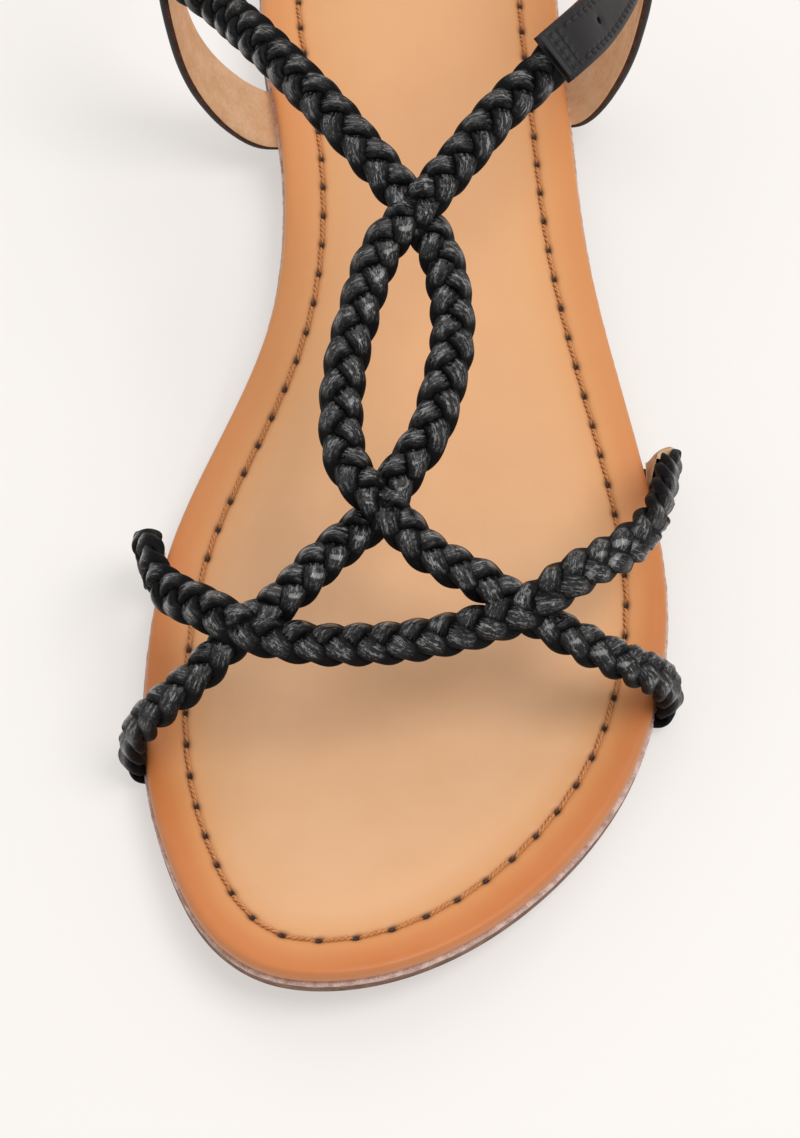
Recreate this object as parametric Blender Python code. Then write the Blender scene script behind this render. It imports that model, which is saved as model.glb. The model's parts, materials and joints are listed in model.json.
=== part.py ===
"""Left flat sandal with a braided leather upper, a heel band and a punched ankle tab.

The toe points to -Y, the outer (lateral) side of the foot is +X and +Z is up.
The origin is the middle of the flat under the heel, on the floor.
"""
import math

import bpy
import bmesh
import numpy as np
from mathutils import Matrix, Vector

MM = 0.001

# Driving sizes of the sole
FOOTBED_LENGTH = 245 * MM
BALL_WIDTH = 88.5 * MM
OUTSOLE_THICKNESS = 3.5 * MM
OUTSOLE_EASE = 0.8 * MM
SEAM_EASE = 0.4 * MM
INSOLE_THICKNESS = 3.2 * MM
PAD_RISE = 0.9 * MM
STITCH_LINE = 7 * MM
HEEL_LIFT = 6 * MM
TOE_SPRING = 8 * MM
WELT_OVERHANG = 0.4 * MM
HEEL_REST = 30 * MM

# Driving sizes of the straps
INSTEP_HEIGHT = 82 * MM
BRAID_WIDTH = 7.2 * MM
BRAID_THICKNESS = 3.4 * MM
BRAID_PERIOD = 15 * MM
TAIL_THICKNESS = 1.3 * MM
TAIL_LENGTH = 8 * MM
TAIL_WIDTH = 8 * MM
TAIL_SINK = 0.2 * MM
POCKET_RUN = 14 * MM
POCKET_STEP = 1 * MM
JOINED_THICKNESS = 1.8 * MM
MEDIAL_JOINED = 15.5 * MM
LATERAL_JOINED = 9 * MM
BAND_WIDTH = 12.5 * MM
BAND_THICKNESS = 2.2 * MM
BAND_HEIGHT = 60 * MM
TAB_WIDTH = 9.3 * MM
TAB_THICKNESS = 1.8 * MM
PUNCH_RADIUS = 0.7 * MM
PUNCH_PLACE = 14.5 * MM

# Clearance between pieces that lie on each other
GAP = 0.3 * MM

# Share of the footbed length where each zone of the tread ends, counted from the heel
HEEL_BREAST = 0.25
FOREFOOT_START = 0.645
FOREFOOT_END = 0.80
SPRING_POWER = 1.8
BREAST_RUN = 0.6 * MM
SLOPE_RUN = 1 * MM
STATION_SPACE = 1.2 * MM

# Half outlines of the footbed from the heel tip to the toe tip:
# along (share of FOOTBED_LENGTH), across (share of BALL_WIDTH)
MEDIAL_OUTLINE = (
    (0.000, 0.000), (0.012, -0.110), (0.050, -0.218), (0.120, -0.295), (0.200, -0.308),
    (0.300, -0.268), (0.385, -0.252), (0.470, -0.280), (0.560, -0.369), (0.650, -0.462),
    (0.740, -0.500), (0.830, -0.493), (0.910, -0.442), (0.965, -0.366), (0.992, -0.272),
    (1.000, -0.150),
)
LATERAL_OUTLINE = (
    (0.000, 0.000), (0.012, 0.110), (0.050, 0.220), (0.120, 0.300), (0.200, 0.318),
    (0.300, 0.338), (0.400, 0.362), (0.500, 0.413), (0.600, 0.472), (0.690, 0.500),
    (0.760, 0.482), (0.836, 0.414), (0.900, 0.308), (0.955, 0.163), (0.988, 0.008),
    (1.000, -0.150),
)
OUTLINE_STATIONS = 30
SPINE_START = 0.10
SPINE_END = 0.88

# Rings of the insole's section from the middle of its underside to the middle of its top:
# inset from the rim (share of STITCH_LINE, None is the middle), rise (share of
# INSOLE_THICKNESS), padding (share of PAD_RISE)
INSOLE_RINGS = (
    (None, 0.00, 0.00), (0.143, 0.00, 0.00), (0.029, 0.25, 0.00), (0.000, 0.55, 0.00),
    (0.050, 0.83, 0.00), (0.186, 1.00, 0.00), (1.000, 1.00, 0.00), (1.800, 1.00, 0.75),
    (None, 1.00, 1.00),
)

# Form that the straps lie on: along (share of FOOTBED_LENGTH), flare of the medial and
# lateral side past the footbed and place of the ridge (shares of BALL_WIDTH), ridge
# height over the footbed (share of INSTEP_HEIGHT)
FORM_ROWS = (
    (0.16, 0.200, 0.145, 0.000, 1.000),
    (0.29, 0.205, 0.140, 0.000, 0.925),
    (0.39, 0.170, 0.100, 0.000, 0.830),
    (0.49, 0.080, 0.034, -0.023, 0.720),
    (0.57, 0.012, 0.006, -0.045, 0.622),
    (0.65, 0.000, 0.000, -0.068, 0.512),
    (0.735, 0.000, 0.000, -0.090, 0.408),
    (0.82, 0.000, 0.000, -0.102, 0.330),
    (0.90, 0.000, 0.000, -0.102, 0.268),
)
SECTION_POWER = 2.3

# Braid routes: along (share of FOOTBED_LENGTH), turn over the form in degrees from its
# ridge (medial is negative, 90 is the rim), lift off the form (share of BRAID_THICKNESS)
MEDIAL_BRAID = (
    (0.344, -51, 0.00), (0.387, -40, 0.00), (0.420, -31, 0.00), (0.461, -18, 0.00),
    (0.494, -6, -0.10), (0.530, 4, -0.26), (0.557, 9, -0.10), (0.583, 11, 0.00),
    (0.610, 11.5, 0.00), (0.638, 10, 0.00), (0.666, 8, 0.00), (0.684, 5, -0.10),
    (0.709, 2, -0.26), (0.741, -6, -0.06), (0.767, -16, -0.10), (0.782, -27, -0.23),
    (0.806, -41, -0.10), (0.816, -54, 0.00), (0.819, -72, 0.00), (0.817, -90, 0.00),
)
LATERAL_BRAID = (
    (0.405, 35, 0.00), (0.432, 29, 0.00), (0.458, 21, 0.00), (0.491, 13, 0.10),
    (0.530, 4, 0.26), (0.549, 0, 0.10), (0.585, -4, 0.00), (0.611, -5.5, 0.00),
    (0.638, -6, 0.00), (0.666, -5, 0.00), (0.685, -3, 0.10), (0.709, 2, 0.26),
    (0.739, 10, 0.10), (0.751, 18, -0.10), (0.768, 29, -0.26), (0.781, 41, -0.10),
    (0.786, 56, 0.00), (0.781, 74, 0.00), (0.774, 90, 0.00),
)
VAMP_BRAID = (
    (0.672, -90, 0.00), (0.683, -78, 0.00), (0.701, -67, 0.00), (0.722, -61, 0.00),
    (0.741, -53, 0.00), (0.764, -37, 0.10), (0.782, -26, 0.26), (0.797, -5, 0.00),
    (0.797, 2, 0.00), (0.792, 11, 0.00), (0.784, 19, 0.10), (0.767, 29, 0.26),
    (0.739, 39, 0.10), (0.722, 47, 0.00), (0.701, 56, 0.00), (0.676, 64, 0.00),
    (0.647, 71, 0.00), (0.615, 81, 0.00), (0.598, 90, 0.00),
)
RINGS_PER_BUMP = 4
BUMPS_PER_PERIOD = 3
STRAND_WIDTH = 0.5
STRAND_SHARE = 0.5

# Heel band from the medial waist round the back of the heel to the lateral waist:
# along (share of FOOTBED_LENGTH), across (share of BALL_WIDTH), up from the outsole's
# top (share of BAND_HEIGHT), droop of its outer face (1 faces the floor)
BAND_ROWS = (
    (0.286, -0.300, -0.012, 1.00), (0.286, -0.345, 0.036, 0.80), (0.285, -0.395, 0.130, 0.30),
    (0.283, -0.442, 0.280, 0.05), (0.279, -0.470, 0.470, 0.00), (0.266, -0.487, 0.655, 0.00),
    (0.235, -0.488, 0.765, 0.00), (0.188, -0.462, 0.815, 0.00), (0.115, -0.368, 0.855, 0.00),
    (0.050, -0.205, 0.880, 0.00), (0.026, 0.000, 0.890, 0.00), (0.050, 0.210, 0.880, 0.00),
    (0.115, 0.374, 0.855, 0.00), (0.185, 0.458, 0.808, 0.00), (0.224, 0.479, 0.750, 0.00),
    (0.252, 0.482, 0.635, 0.00), (0.262, 0.470, 0.450, 0.00), (0.265, 0.448, 0.275, 0.05),
    (0.266, 0.416, 0.130, 0.30), (0.266, 0.385, 0.036, 0.80), (0.266, 0.350, -0.012, 1.00),
)
BAND_STATION = 0.286
LATERAL_STATION = 0.266
HEEL_CENTRE = 0.13
BAND_STEP = 5 * MM

# Where a strap leaves the form for the band: along, across, up as above, lean of its face
MEDIAL_FREE_ROW = (0.305, -0.449, 0.770, 0.35)
TAB_FREE_ROW = (0.3068, 0.422, 0.772, 0.62)

# Ends of the straps sewn flat to the inside of the band: along (share of FOOTBED_LENGTH),
# rise over the band's middle (share of BAND_WIDTH)
JOIN_ROWS = ((0.270, 0.24), (0.255, -0.05), (0.240, -0.12))
TAB_JOIN_ROWS = ((0.251, 0.14), (0.236, 0.01), (0.221, -0.04))
ANKLE_START = 0.4

# Tab over the lateral braid's end: along, turn and lift (share of the stack of half a tab
# and half a flattened braid)
TAB_ROWS = ((0.4245, 30, 1.05), (0.404, 35.5, 1.05), (0.376, 43, 0.45))
TAB_STEP = 2.4 * MM


def smooth_step(value):
    """Ease from 0 to 1 with level ends."""
    t = min(max(value, 0.0), 1.0)
    return t * t * (3 - 2 * t)


def natural_spline(knots, rows, queries):
    """Values of the natural cubic spline through rows at the queried knots."""
    knots = np.asarray(knots, float)
    rows = np.asarray(rows, float)
    steps = np.diff(knots)
    slopes = np.diff(rows, axis=0) / steps[:, None]
    count = len(knots)
    matrix = np.eye(count)
    right = np.zeros_like(rows)
    for i in range(1, count - 1):
        matrix[i, i - 1:i + 2] = steps[i - 1], 2 * (steps[i - 1] + steps[i]), steps[i]
        right[i] = 6 * (slopes[i] - slopes[i - 1])
    bends = np.linalg.solve(matrix, right)
    place = np.clip(np.searchsorted(knots, queries) - 1, 0, count - 2)
    before = (np.asarray(queries) - knots[place])[:, None]
    span = steps[place][:, None]
    after = span - before
    low, high = bends[place], bends[place + 1]
    return ((low * after ** 3 + high * before ** 3) / (6 * span)
            + (rows[place] / span - low * span / 6) * after
            + (rows[place + 1] / span - high * span / 6) * before)


def chord_knots(points):
    """Running chord length of a row of points."""
    legs = np.linalg.norm(np.diff(points, axis=0), axis=1)
    return np.concatenate([[0.0], np.cumsum(legs)])


def outline_curves():
    """Both half outlines as fine (along, across) curves in metres."""
    wrap = 4
    loop = np.array(MEDIAL_OUTLINE + LATERAL_OUTLINE[-2:0:-1]) * (FOOTBED_LENGTH, BALL_WIDTH)
    padded = np.vstack([loop[-wrap:], loop, loop[:wrap + 1]])
    knots = chord_knots(padded)
    fine = natural_spline(knots, padded, np.linspace(knots[wrap], knots[wrap + len(loop)], 1200))
    toe = int(np.argmax(fine[:, 0]))
    fine[:, 0] = np.clip(fine[:, 0], 0.0, FOOTBED_LENGTH)
    return fine[:toe + 1], fine[toe:][::-1]


MEDIAL_CURVE, LATERAL_CURVE = outline_curves()


def rim(distance, side):
    """Across place of the footbed's rim at a distance from the heel; side is -1 or 1."""
    curve = MEDIAL_CURVE if side < 0 else LATERAL_CURVE
    return float(np.interp(distance, curve[:, 0], curve[:, 1]))


def tread_line(distance):
    """Height of the outsole's underside without its heel."""
    share = distance / FOOTBED_LENGTH
    if share <= HEEL_BREAST:
        return HEEL_LIFT
    if share < FOREFOOT_START:
        return HEEL_LIFT * (1 - smooth_step((share - HEEL_BREAST) / (FOREFOOT_START - HEEL_BREAST)))
    if share < FOREFOOT_END:
        return 0.0
    return TOE_SPRING * ((share - FOREFOOT_END) / (1 - FOREFOOT_END)) ** SPRING_POWER


def ground_line(distance):
    """Height of the outsole's underside with its heel, which stands on the floor."""
    return 0.0 if distance <= HEEL_BREAST * FOOTBED_LENGTH else tread_line(distance)


def seam(distance):
    """Height of the outsole's top, where the straps are tucked in."""
    return tread_line(distance) + OUTSOLE_THICKNESS


def under_seam(distance):
    """Direction square to the outsole's top, pointing into the outsole."""
    slope = (seam(distance + SLOPE_RUN) - seam(distance - SLOPE_RUN)) / (2 * SLOPE_RUN)
    return np.array([0.0, -slope, -1.0])


def bed(distance):
    """Height of the insole's top at its rim."""
    return seam(distance) + GAP + INSOLE_THICKNESS


def place(distance, across, height):
    """Point of the model from a distance from the heel tip, an across place and a height."""
    return np.array([across, HEEL_REST - distance, height])


def form_at(distance, turn, lift=0.0):
    """Point and outward normal of the straps' form, turn in degrees from its ridge."""
    rows = np.array(FORM_ROWS)
    share = np.clip(distance / FOOTBED_LENGTH, rows[0, 0], rows[-1, 0])
    flare_in, flare_out, ridge, height = natural_spline(rows[:, 0], rows[:, 1:], [share])[0]
    stand = BRAID_THICKNESS / 2 + GAP
    sides = {
        -1: rim(distance, -1) - stand - max(flare_in, 0.0) * BALL_WIDTH,
        1: rim(distance, 1) + stand + max(flare_out, 0.0) * BALL_WIDTH,
    }
    side = -1 if turn < 0 else 1
    crown = ridge * BALL_WIDTH
    reach = sides[side] - crown
    rise = height * INSTEP_HEIGHT
    angle = math.radians(abs(turn))
    power = 2 / SECTION_POWER
    sine, cosine = math.sin(angle), max(math.cos(angle), 0.0)
    point = place(distance, crown + reach * sine ** power, bed(distance) + rise * cosine ** power)
    normal = np.array([sine ** (2 - power) / reach, 0.0, cosine ** (2 - power) / rise])
    normal /= np.linalg.norm(normal)
    return point + normal * lift, normal


class Route:
    """A strap's centre line with its frames, read at even steps of its length."""

    def __init__(self, points, facings, step):
        """Run one smooth curve through the points, turned to face along the facings."""
        points = np.array(points)
        knots = chord_knots(points)
        both = np.hstack([points, np.array(facings)])
        fine = natural_spline(knots, both, np.linspace(0, knots[-1], 1500))
        lengths = chord_knots(fine[:, :3])
        self.length = float(lengths[-1])
        count = max(int(round(self.length / step)), 2)
        self.distances = np.linspace(0, self.length, count + 1)
        even = np.array([np.interp(self.distances, lengths, fine[:, i]) for i in range(6)]).T
        self.points = even[:, :3]
        run = np.gradient(fine[:, :3], lengths, axis=0)
        self.tangents = np.array([np.interp(self.distances, lengths, run[:, i]) for i in range(3)]).T
        self.tangents /= np.linalg.norm(self.tangents, axis=1)[:, None]
        faces = even[:, 3:]
        faces = faces - np.sum(faces * self.tangents, axis=1)[:, None] * self.tangents
        self.normals = faces / np.linalg.norm(faces, axis=1)[:, None]
        self.acrosses = np.cross(self.tangents, self.normals)

    def frame(self, distance):
        """Point, tangent, normal and across direction at a distance from the start."""
        rows = []
        for values in (self.points, self.tangents, self.normals, self.acrosses):
            rows.append(np.array([np.interp(distance, self.distances, values[:, i]) for i in range(3)]))
        return rows[0], *(row / np.linalg.norm(row) for row in rows[1:])


def make_object(name, mesh, collection):
    """Link an object for a mesh."""
    item = bpy.data.objects.new(name, mesh)
    collection.objects.link(item)
    return item


def finish_mesh(name, form, collection):
    """Turn a bmesh into a smooth-shaded object with its faces pointing out."""
    bmesh.ops.recalc_face_normals(form, faces=form.faces)
    mesh = bpy.data.meshes.new(name)
    form.to_mesh(mesh)
    form.free()
    mesh.shade_smooth()
    mesh.set_sharp_from_angle(angle=math.radians(35))
    return make_object(name, mesh, collection)


def sweep(name, route, section, collection):
    """Closed strap: section(distance) gives its (across, out) corners at each step."""
    form = bmesh.new()
    rings = []
    for index, distance in enumerate(route.distances):
        point, across, out = route.points[index], route.acrosses[index], route.normals[index]
        rings.append([form.verts.new(point + across * a + out * o) for a, o in section(distance)])
    for first, second in zip(rings, rings[1:]):
        for i in range(len(first)):
            j = (i + 1) % len(first)
            form.faces.new((first[i], first[j], second[j], second[i]))
    form.faces.new(rings[0])
    form.faces.new(list(reversed(rings[-1])))
    return finish_mesh(name, form, collection)


def strip_section(width, thickness):
    """Eight corners of a flat strip with eased edges."""
    ease = thickness * 0.28
    wide, slim = width / 2, width / 2 - ease
    high, low = thickness / 2, thickness / 2 - ease
    return ((-wide, -low), (-wide, low), (-slim, high), (slim, high),
            (wide, low), (wide, -low), (slim, -high), (-slim, -high))


def strand_places(distance):
    """Across and out place of the three strands' middles, before the braid is flattened."""
    swing = BRAID_WIDTH * (1 - STRAND_WIDTH) / 2
    weave = BRAID_THICKNESS * (1 - STRAND_SHARE) / 2
    angles = [math.tau * (distance / BRAID_PERIOD + k / 3) for k in range(3)]
    return [(swing * math.sin(a), weave * math.sin(2 * a)) for a in angles]


def braid_surface(places, across, side):
    """Height of the braid's upper (side 1) or lower (side -1) skin at an across place."""
    half = BRAID_WIDTH * STRAND_WIDTH / 2 * 1.15
    thick = BRAID_THICKNESS * STRAND_SHARE / 2
    heights = []
    for middle, out in places:
        share = (across - middle) / half
        if abs(share) < 1:
            heights.append(side * out + thick * math.sqrt(1 - share * share))
    return side * max(heights, default=0.0)


def braid_section(distance, flat, flat_width, flat_thickness):
    """Eight corners of the braid at a distance, its strips raised unless it is flat."""
    places = strand_places(distance)
    half = BRAID_WIDTH * STRAND_WIDTH / 2
    left = min(a for a, _ in places) - half
    right = max(a for a, _ in places) + half
    flat_high = flat_thickness / 2
    corners = [(left, 0.0, -flat_width / 2, 0.0)]
    for side, order in ((1, (0.2, 0.5, 0.8)), (-1, (0.7, 0.3))):
        for share in order:
            across = left + (right - left) * share
            corners.append((across, braid_surface(places, across, side),
                            flat_width * (share - 0.5) * 1.3, side * flat_high))
        if side > 0:
            corners.append((right, 0.0, flat_width / 2, 0.0))
    return [(a + (fa - a) * flat, o + (fo - o) * flat) for a, o, fa, fo in corners]


def form_rows(rows):
    """Points and normals of a table of route rows on the form."""
    pairs = [form_at(along * FOOTBED_LENGTH, turn, lift * BRAID_THICKNESS) for along, turn, lift in rows]
    return [p for p, _ in pairs], [n for _, n in pairs]


def tail_rows(along, side, stand):
    """Points and facings of a strap's end that turns under the insole into the outsole."""
    distance = along * FOOTBED_LENGTH
    edge, top = rim(distance, side), bed(distance)
    buried = seam(distance) - TAIL_THICKNESS / 2
    turn_height = seam(distance) - TAIL_SINK
    rows = (
        (stand, top - INSOLE_THICKNESS * 0.55, 0.9, 0.3),
        (stand * 0.6, turn_height, 0.5, 0.85),
        (-0.25 * TAIL_LENGTH, buried, 0.0, 1.0),
        (-0.6 * TAIL_LENGTH, buried, 0.0, 1.0),
        (-TAIL_LENGTH, buried, 0.0, 1.0),
    )
    points = [place(distance, edge + side * off, height) for off, height, _, _ in rows]
    facings = [np.array([side * out, 0.0, 0.0]) + under_seam(distance) * down for _, _, out, down in rows]
    return points, facings


def braid_route(rows, start=None):
    """Route of a braid: a table on the form, tails at its rims, and extra rows before it."""
    points, facings = form_rows(rows)
    stand = BRAID_THICKNESS / 2 + GAP
    if abs(rows[0][1]) == 90:
        side = math.copysign(1, rows[0][1])
        more, faces = tail_rows(rows[0][0], side, stand)
        points, facings = more[::-1] + points, faces[::-1] + facings
    if start:
        points, facings = start[0] + points, start[1] + facings
    side = math.copysign(1, rows[-1][1])
    more, faces = tail_rows(rows[-1][0], side, stand)
    bump = BRAID_PERIOD / BUMPS_PER_PERIOD
    return Route(points + more, facings + faces, bump / RINGS_PER_BUMP)


def tail_flatness(from_end):
    """How flat a braid is near its tucked end: 0 is round, 1 is skived flat."""
    return smooth_step(1 - (from_end - TAIL_LENGTH) / (0.55 * TAIL_LENGTH))


def braid(name, route, collection, first_tail, end_flat=0.0):
    """One braid of three strips; end_flat is the length that is flat at an untucked start."""
    def section(distance):
        flat = tail_flatness(route.length - distance)
        width, thickness = TAIL_WIDTH, TAIL_THICKNESS
        if distance < route.length / 2:
            if first_tail:
                flat = tail_flatness(distance)
            else:
                flat = smooth_step(1 - (distance - end_flat) / (0.8 * end_flat))
                width, thickness = BRAID_WIDTH, JOINED_THICKNESS
        return braid_section(distance, flat, width, thickness)
    return sweep(name, route, section, collection)


def unite(base, others):
    """Join solids into base with exact Boolean unions, applied at once."""
    for other in others:
        cut_with(base, other, "UNION")
        bpy.data.objects.remove(other)


def cut_with(base, other, operation="DIFFERENCE"):
    """Apply one exact Boolean to base."""
    modifier = base.modifiers.new("boolean", "BOOLEAN")
    modifier.operation = operation
    modifier.solver = "EXACT"
    modifier.object = other
    shape = bpy.context.evaluated_depsgraph_get()
    mesh = bpy.data.meshes.new_from_object(base.evaluated_get(shape))
    base.modifiers.remove(modifier)
    base.data = mesh


def as_cutter(item):
    """Mark an object as a guide that isn't part of the model."""
    item.hide_render = True
    item.display_type = "WIRE"
    return item


def outline_stations():
    """Distances from the heel at which the sole's rings have points."""
    count = OUTLINE_STATIONS
    even = [FOOTBED_LENGTH * (1 - math.cos(math.pi * i / count)) / 2 for i in range(count + 1)]
    breast = HEEL_BREAST * FOOTBED_LENGTH
    edges = [breast, breast + BREAST_RUN, FOREFOOT_START * FOOTBED_LENGTH, FOREFOOT_END * FOOTBED_LENGTH]
    kept = [d for d in even if all(abs(d - e) > STATION_SPACE for e in edges)]
    return sorted(kept + edges)


def spine_point(distance):
    """Middle of the footbed at a distance, held off the rounded ends."""
    held = min(max(distance, SPINE_START * FOOTBED_LENGTH), SPINE_END * FOOTBED_LENGTH)
    return held, (rim(held, -1) + rim(held, 1)) / 2


def plate(name, rings, collection):
    """Sole layer from rings of (inset from the rim, height function of the distance).

    The rings run from the middle of the underside over the side to the middle of the top.
    """
    form = bmesh.new()
    stations = outline_stations()
    loop = [(stations[0], 0)] + [(d, -1) for d in stations[1:-1]] + [(stations[-1], 0)]
    loop += [(d, 1) for d in reversed(stations[1:-1])]
    rows = []
    for inset, height in rings:
        if inset is None:
            seats = {}
            row = []
            for distance, _ in loop:
                held, across = spine_point(distance)
                if held not in seats:
                    seats[held] = form.verts.new(place(held, across, height(held)))
                row.append(seats[held])
            rows.append(row)
            continue
        row = []
        for distance, side in loop:
            tip = MEDIAL_CURVE[0 if distance <= 0 else -1][1]
            edge = np.array([distance, rim(distance, side) if side else tip])
            middle = np.array(spine_point(distance))
            reach = np.linalg.norm(middle - edge)
            spot = edge + (middle - edge) * inset / reach
            row.append(form.verts.new(place(spot[0], spot[1], height(distance))))
        rows.append(row)
    for lower, upper in zip(rows, rows[1:]):
        for i in range(len(loop)):
            j = (i + 1) % len(loop)
            corners = [lower[i], lower[j], upper[j], upper[i]]
            unique = [v for k, v in enumerate(corners) if v not in corners[:k]]
            form.faces.new(unique)
    return finish_mesh(name, form, collection)


def outsole(collection, cutters, tails):
    """Thin outsole with a low heel, an arch and toe spring, pocketed for the strap ends."""
    def raised(line, extra):
        return lambda distance: line(distance) + extra

    rings = (
        (None, ground_line),
        (OUTSOLE_EASE - WELT_OVERHANG, ground_line),
        (-WELT_OVERHANG, raised(ground_line, OUTSOLE_EASE)),
        (-WELT_OVERHANG, raised(seam, -SEAM_EASE)),
        (SEAM_EASE - WELT_OVERHANG, seam),
        (None, seam),
    )
    item = plate("outsole", rings, collection)
    for number, (route, width, thickness) in enumerate(tails):
        pocket = sweep(f"pocket_{number}", route, lambda _: strip_section(width, thickness), cutters)
        cut_with(item, as_cutter(pocket))
    return item


def insole(collection):
    """Wrapped leather insole: rolled edge, flat stitched rim and a softly padded middle."""
    def over_seam(extra):
        return lambda distance: seam(distance) + GAP + extra

    rings = [(inset if inset is None else inset * STITCH_LINE,
              over_seam(rise * INSOLE_THICKNESS + pad * PAD_RISE))
             for inset, rise, pad in INSOLE_RINGS]
    return plate("insole", rings, collection)


def band_route():
    """Route of the heel band with both ends tucked into the outsole."""
    points, facings = [], []
    base = seam(BAND_STATION * FOOTBED_LENGTH)
    for along, across, up, droop in BAND_ROWS:
        distance = along * FOOTBED_LENGTH
        spot = place(distance, across * BALL_WIDTH, base + up * BAND_HEIGHT)
        centre = place(max(along, HEEL_CENTRE) * FOOTBED_LENGTH, 0, 0)
        outward = spot - centre
        outward[2] = 0
        outward /= np.linalg.norm(outward)
        points.append(spot)
        facings.append(outward * (1 - droop) + under_seam(distance) * droop)
    for side, station in ((-1, BAND_STATION), (1, LATERAL_STATION)):
        distance = station * FOOTBED_LENGTH
        edge = rim(distance, side)
        buried = seam(distance) - TAIL_THICKNESS / 2 - TAIL_SINK
        ends = [place(distance, edge - side * TAIL_LENGTH * share, buried) for share in (0.1, 0.5, 1.0)]
        down = [under_seam(distance)] * len(ends)
        if side < 0:
            points, facings = ends[::-1] + points, down + facings
        else:
            points, facings = points + ends, facings + down
    return Route(points, facings, BAND_STEP)


def heel_band(collection, route):
    """Band of one leather strip that rises from the waist and runs round the heel."""
    def section(distance):
        end = min(distance, route.length - distance)
        skived = smooth_step(1 - (end - TAIL_LENGTH) / (0.5 * TAIL_LENGTH))
        thickness = BAND_THICKNESS + (TAIL_THICKNESS - BAND_THICKNESS) * skived
        return strip_section(BAND_WIDTH, thickness)
    return sweep("heel_band", route, section, collection)


def join_rows(band, side, thickness, free_row, end_rows):
    """Points and facings of a strap that leaves the form and is sewn inside the band.

    They run from the form to the strap's end; side is -1 (medial) or 1 (lateral).
    """
    along, across, up, lean = free_row
    base = seam(BAND_STATION * FOOTBED_LENGTH)
    points = [place(along * FOOTBED_LENGTH, across * BALL_WIDTH, base + up * BAND_HEIGHT)]
    facings = [np.array([side, 0.0, lean])]
    half = len(band.points) // 2
    order = slice(half, None) if side > 0 else slice(half, None, -1)
    ankle = band.points[order, 2] > base + ANKLE_START * BAND_HEIGHT
    alongs = HEEL_REST - band.points[order, 1][ankle]
    distances = band.distances[order][ankle]
    inside = BAND_THICKNESS / 2 + GAP + thickness / 2
    for along, rise in end_rows:
        spot, _, out, _ = band.frame(np.interp(along * FOOTBED_LENGTH, alongs, distances))
        points.append(spot - out * inside + np.array([0, 0, rise * BAND_WIDTH]))
        facings.append(out)
    return points, facings


def ankle_tab(collection, cutters, band):
    """Punched leather tab from the lateral braid's end to the inside of the band."""
    points, facings = [], []
    stack = TAB_THICKNESS / 2 + GAP + JOINED_THICKNESS / 2
    for along, turn, lift in TAB_ROWS:
        point, normal = form_at(along * FOOTBED_LENGTH, turn, lift * stack)
        points.append(point)
        facings.append(normal)
    more, faces = join_rows(band, 1, TAB_THICKNESS, TAB_FREE_ROW, TAB_JOIN_ROWS)
    route = Route(points + more, facings + faces, TAB_STEP)
    item = sweep("ankle_tab", route, lambda _: strip_section(TAB_WIDTH, TAB_THICKNESS), collection)
    point, _, normal, _ = route.frame(PUNCH_PLACE)
    form = bmesh.new()
    bmesh.ops.create_cone(form, cap_ends=True, segments=12, radius1=PUNCH_RADIUS,
                          radius2=PUNCH_RADIUS, depth=4 * TAB_THICKNESS)
    turn = Vector(normal).to_track_quat("Z", "Y").to_matrix().to_4x4()
    bmesh.ops.transform(form, matrix=Matrix.Translation(Vector(point)) @ turn, verts=form.verts)
    cut_with(item, as_cutter(finish_mesh("punch", form, cutters)))
    return item


def paint(item, colour, roughness):
    """Give a piece its own plain material."""
    material = bpy.data.materials.new(item.name)
    material.use_nodes = True
    shader = material.node_tree.nodes["Principled BSDF"]
    shader.inputs["Base Color"].default_value = (*colour, 1.0)
    shader.inputs["Roughness"].default_value = roughness
    item.data.materials.clear()
    item.data.materials.append(material)


def tail_route(route, at_start, extra):
    """The buried end of a strap's route, a little longer than the strap, for its pocket."""
    picks = route.distances < POCKET_RUN if at_start else route.distances > route.length - POCKET_RUN
    points = [p for p, chosen in zip(route.points, picks) if chosen]
    faces = [n for n, chosen in zip(route.normals, picks) if chosen]
    end = 0 if at_start else -1
    tangent = route.tangents[end] * (-1 if at_start else 1)
    longer = points[end] + tangent * extra
    if at_start:
        return Route([longer] + points, [faces[0]] + faces, POCKET_STEP)
    return Route(points + [longer], faces + [faces[-1]], POCKET_STEP)


def build():
    """Model every piece of the sandal."""
    for item in list(bpy.data.objects):
        bpy.data.objects.remove(item)
    parts = bpy.data.collections.new("braided_leather_sandal")
    cutters = bpy.data.collections.new("cutters")
    bpy.context.scene.collection.children.link(parts)
    bpy.context.scene.collection.children.link(cutters)

    band = band_route()
    points, facings = join_rows(band, -1, JOINED_THICKNESS, MEDIAL_FREE_ROW, JOIN_ROWS)
    medial = braid_route(MEDIAL_BRAID, (points[::-1], facings[::-1]))
    lateral = braid_route(LATERAL_BRAID)
    vamp = braid_route(VAMP_BRAID)

    upper = braid("braided_upper", medial, parts, False, MEDIAL_JOINED)
    unite(upper, [braid("lateral_braid", lateral, cutters, False, LATERAL_JOINED),
                  braid("vamp_braid", vamp, cutters, True)])
    heel = heel_band(parts, band)
    tab = ankle_tab(parts, cutters, band)

    wide, thick = TAIL_WIDTH + 2 * GAP, TAIL_THICKNESS + 2 * GAP
    tails = [(tail_route(r, start, GAP), wide, thick)
             for r, start in ((medial, False), (lateral, False), (vamp, True), (vamp, False))]
    tails += [(tail_route(band, start, GAP), BAND_WIDTH + 2 * GAP, thick) for start in (True, False)]
    sole = outsole(parts, cutters, tails)
    bed_piece = insole(parts)

    black = (0.02, 0.02, 0.022)
    paint(sole, (0.22, 0.13, 0.09), 0.75)
    paint(bed_piece, (0.62, 0.31, 0.14), 0.5)
    for leather in (upper, heel, tab):
        paint(leather, black, 0.45)


build()
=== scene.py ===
"""Looks of the left braided leather sandal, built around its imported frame.

The toe points to -Y, the outer (lateral) side of the foot is +X and +Z is up.
The frame's origin is the middle of the flat under the heel, on the floor.
"""
from __future__ import annotations

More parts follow.
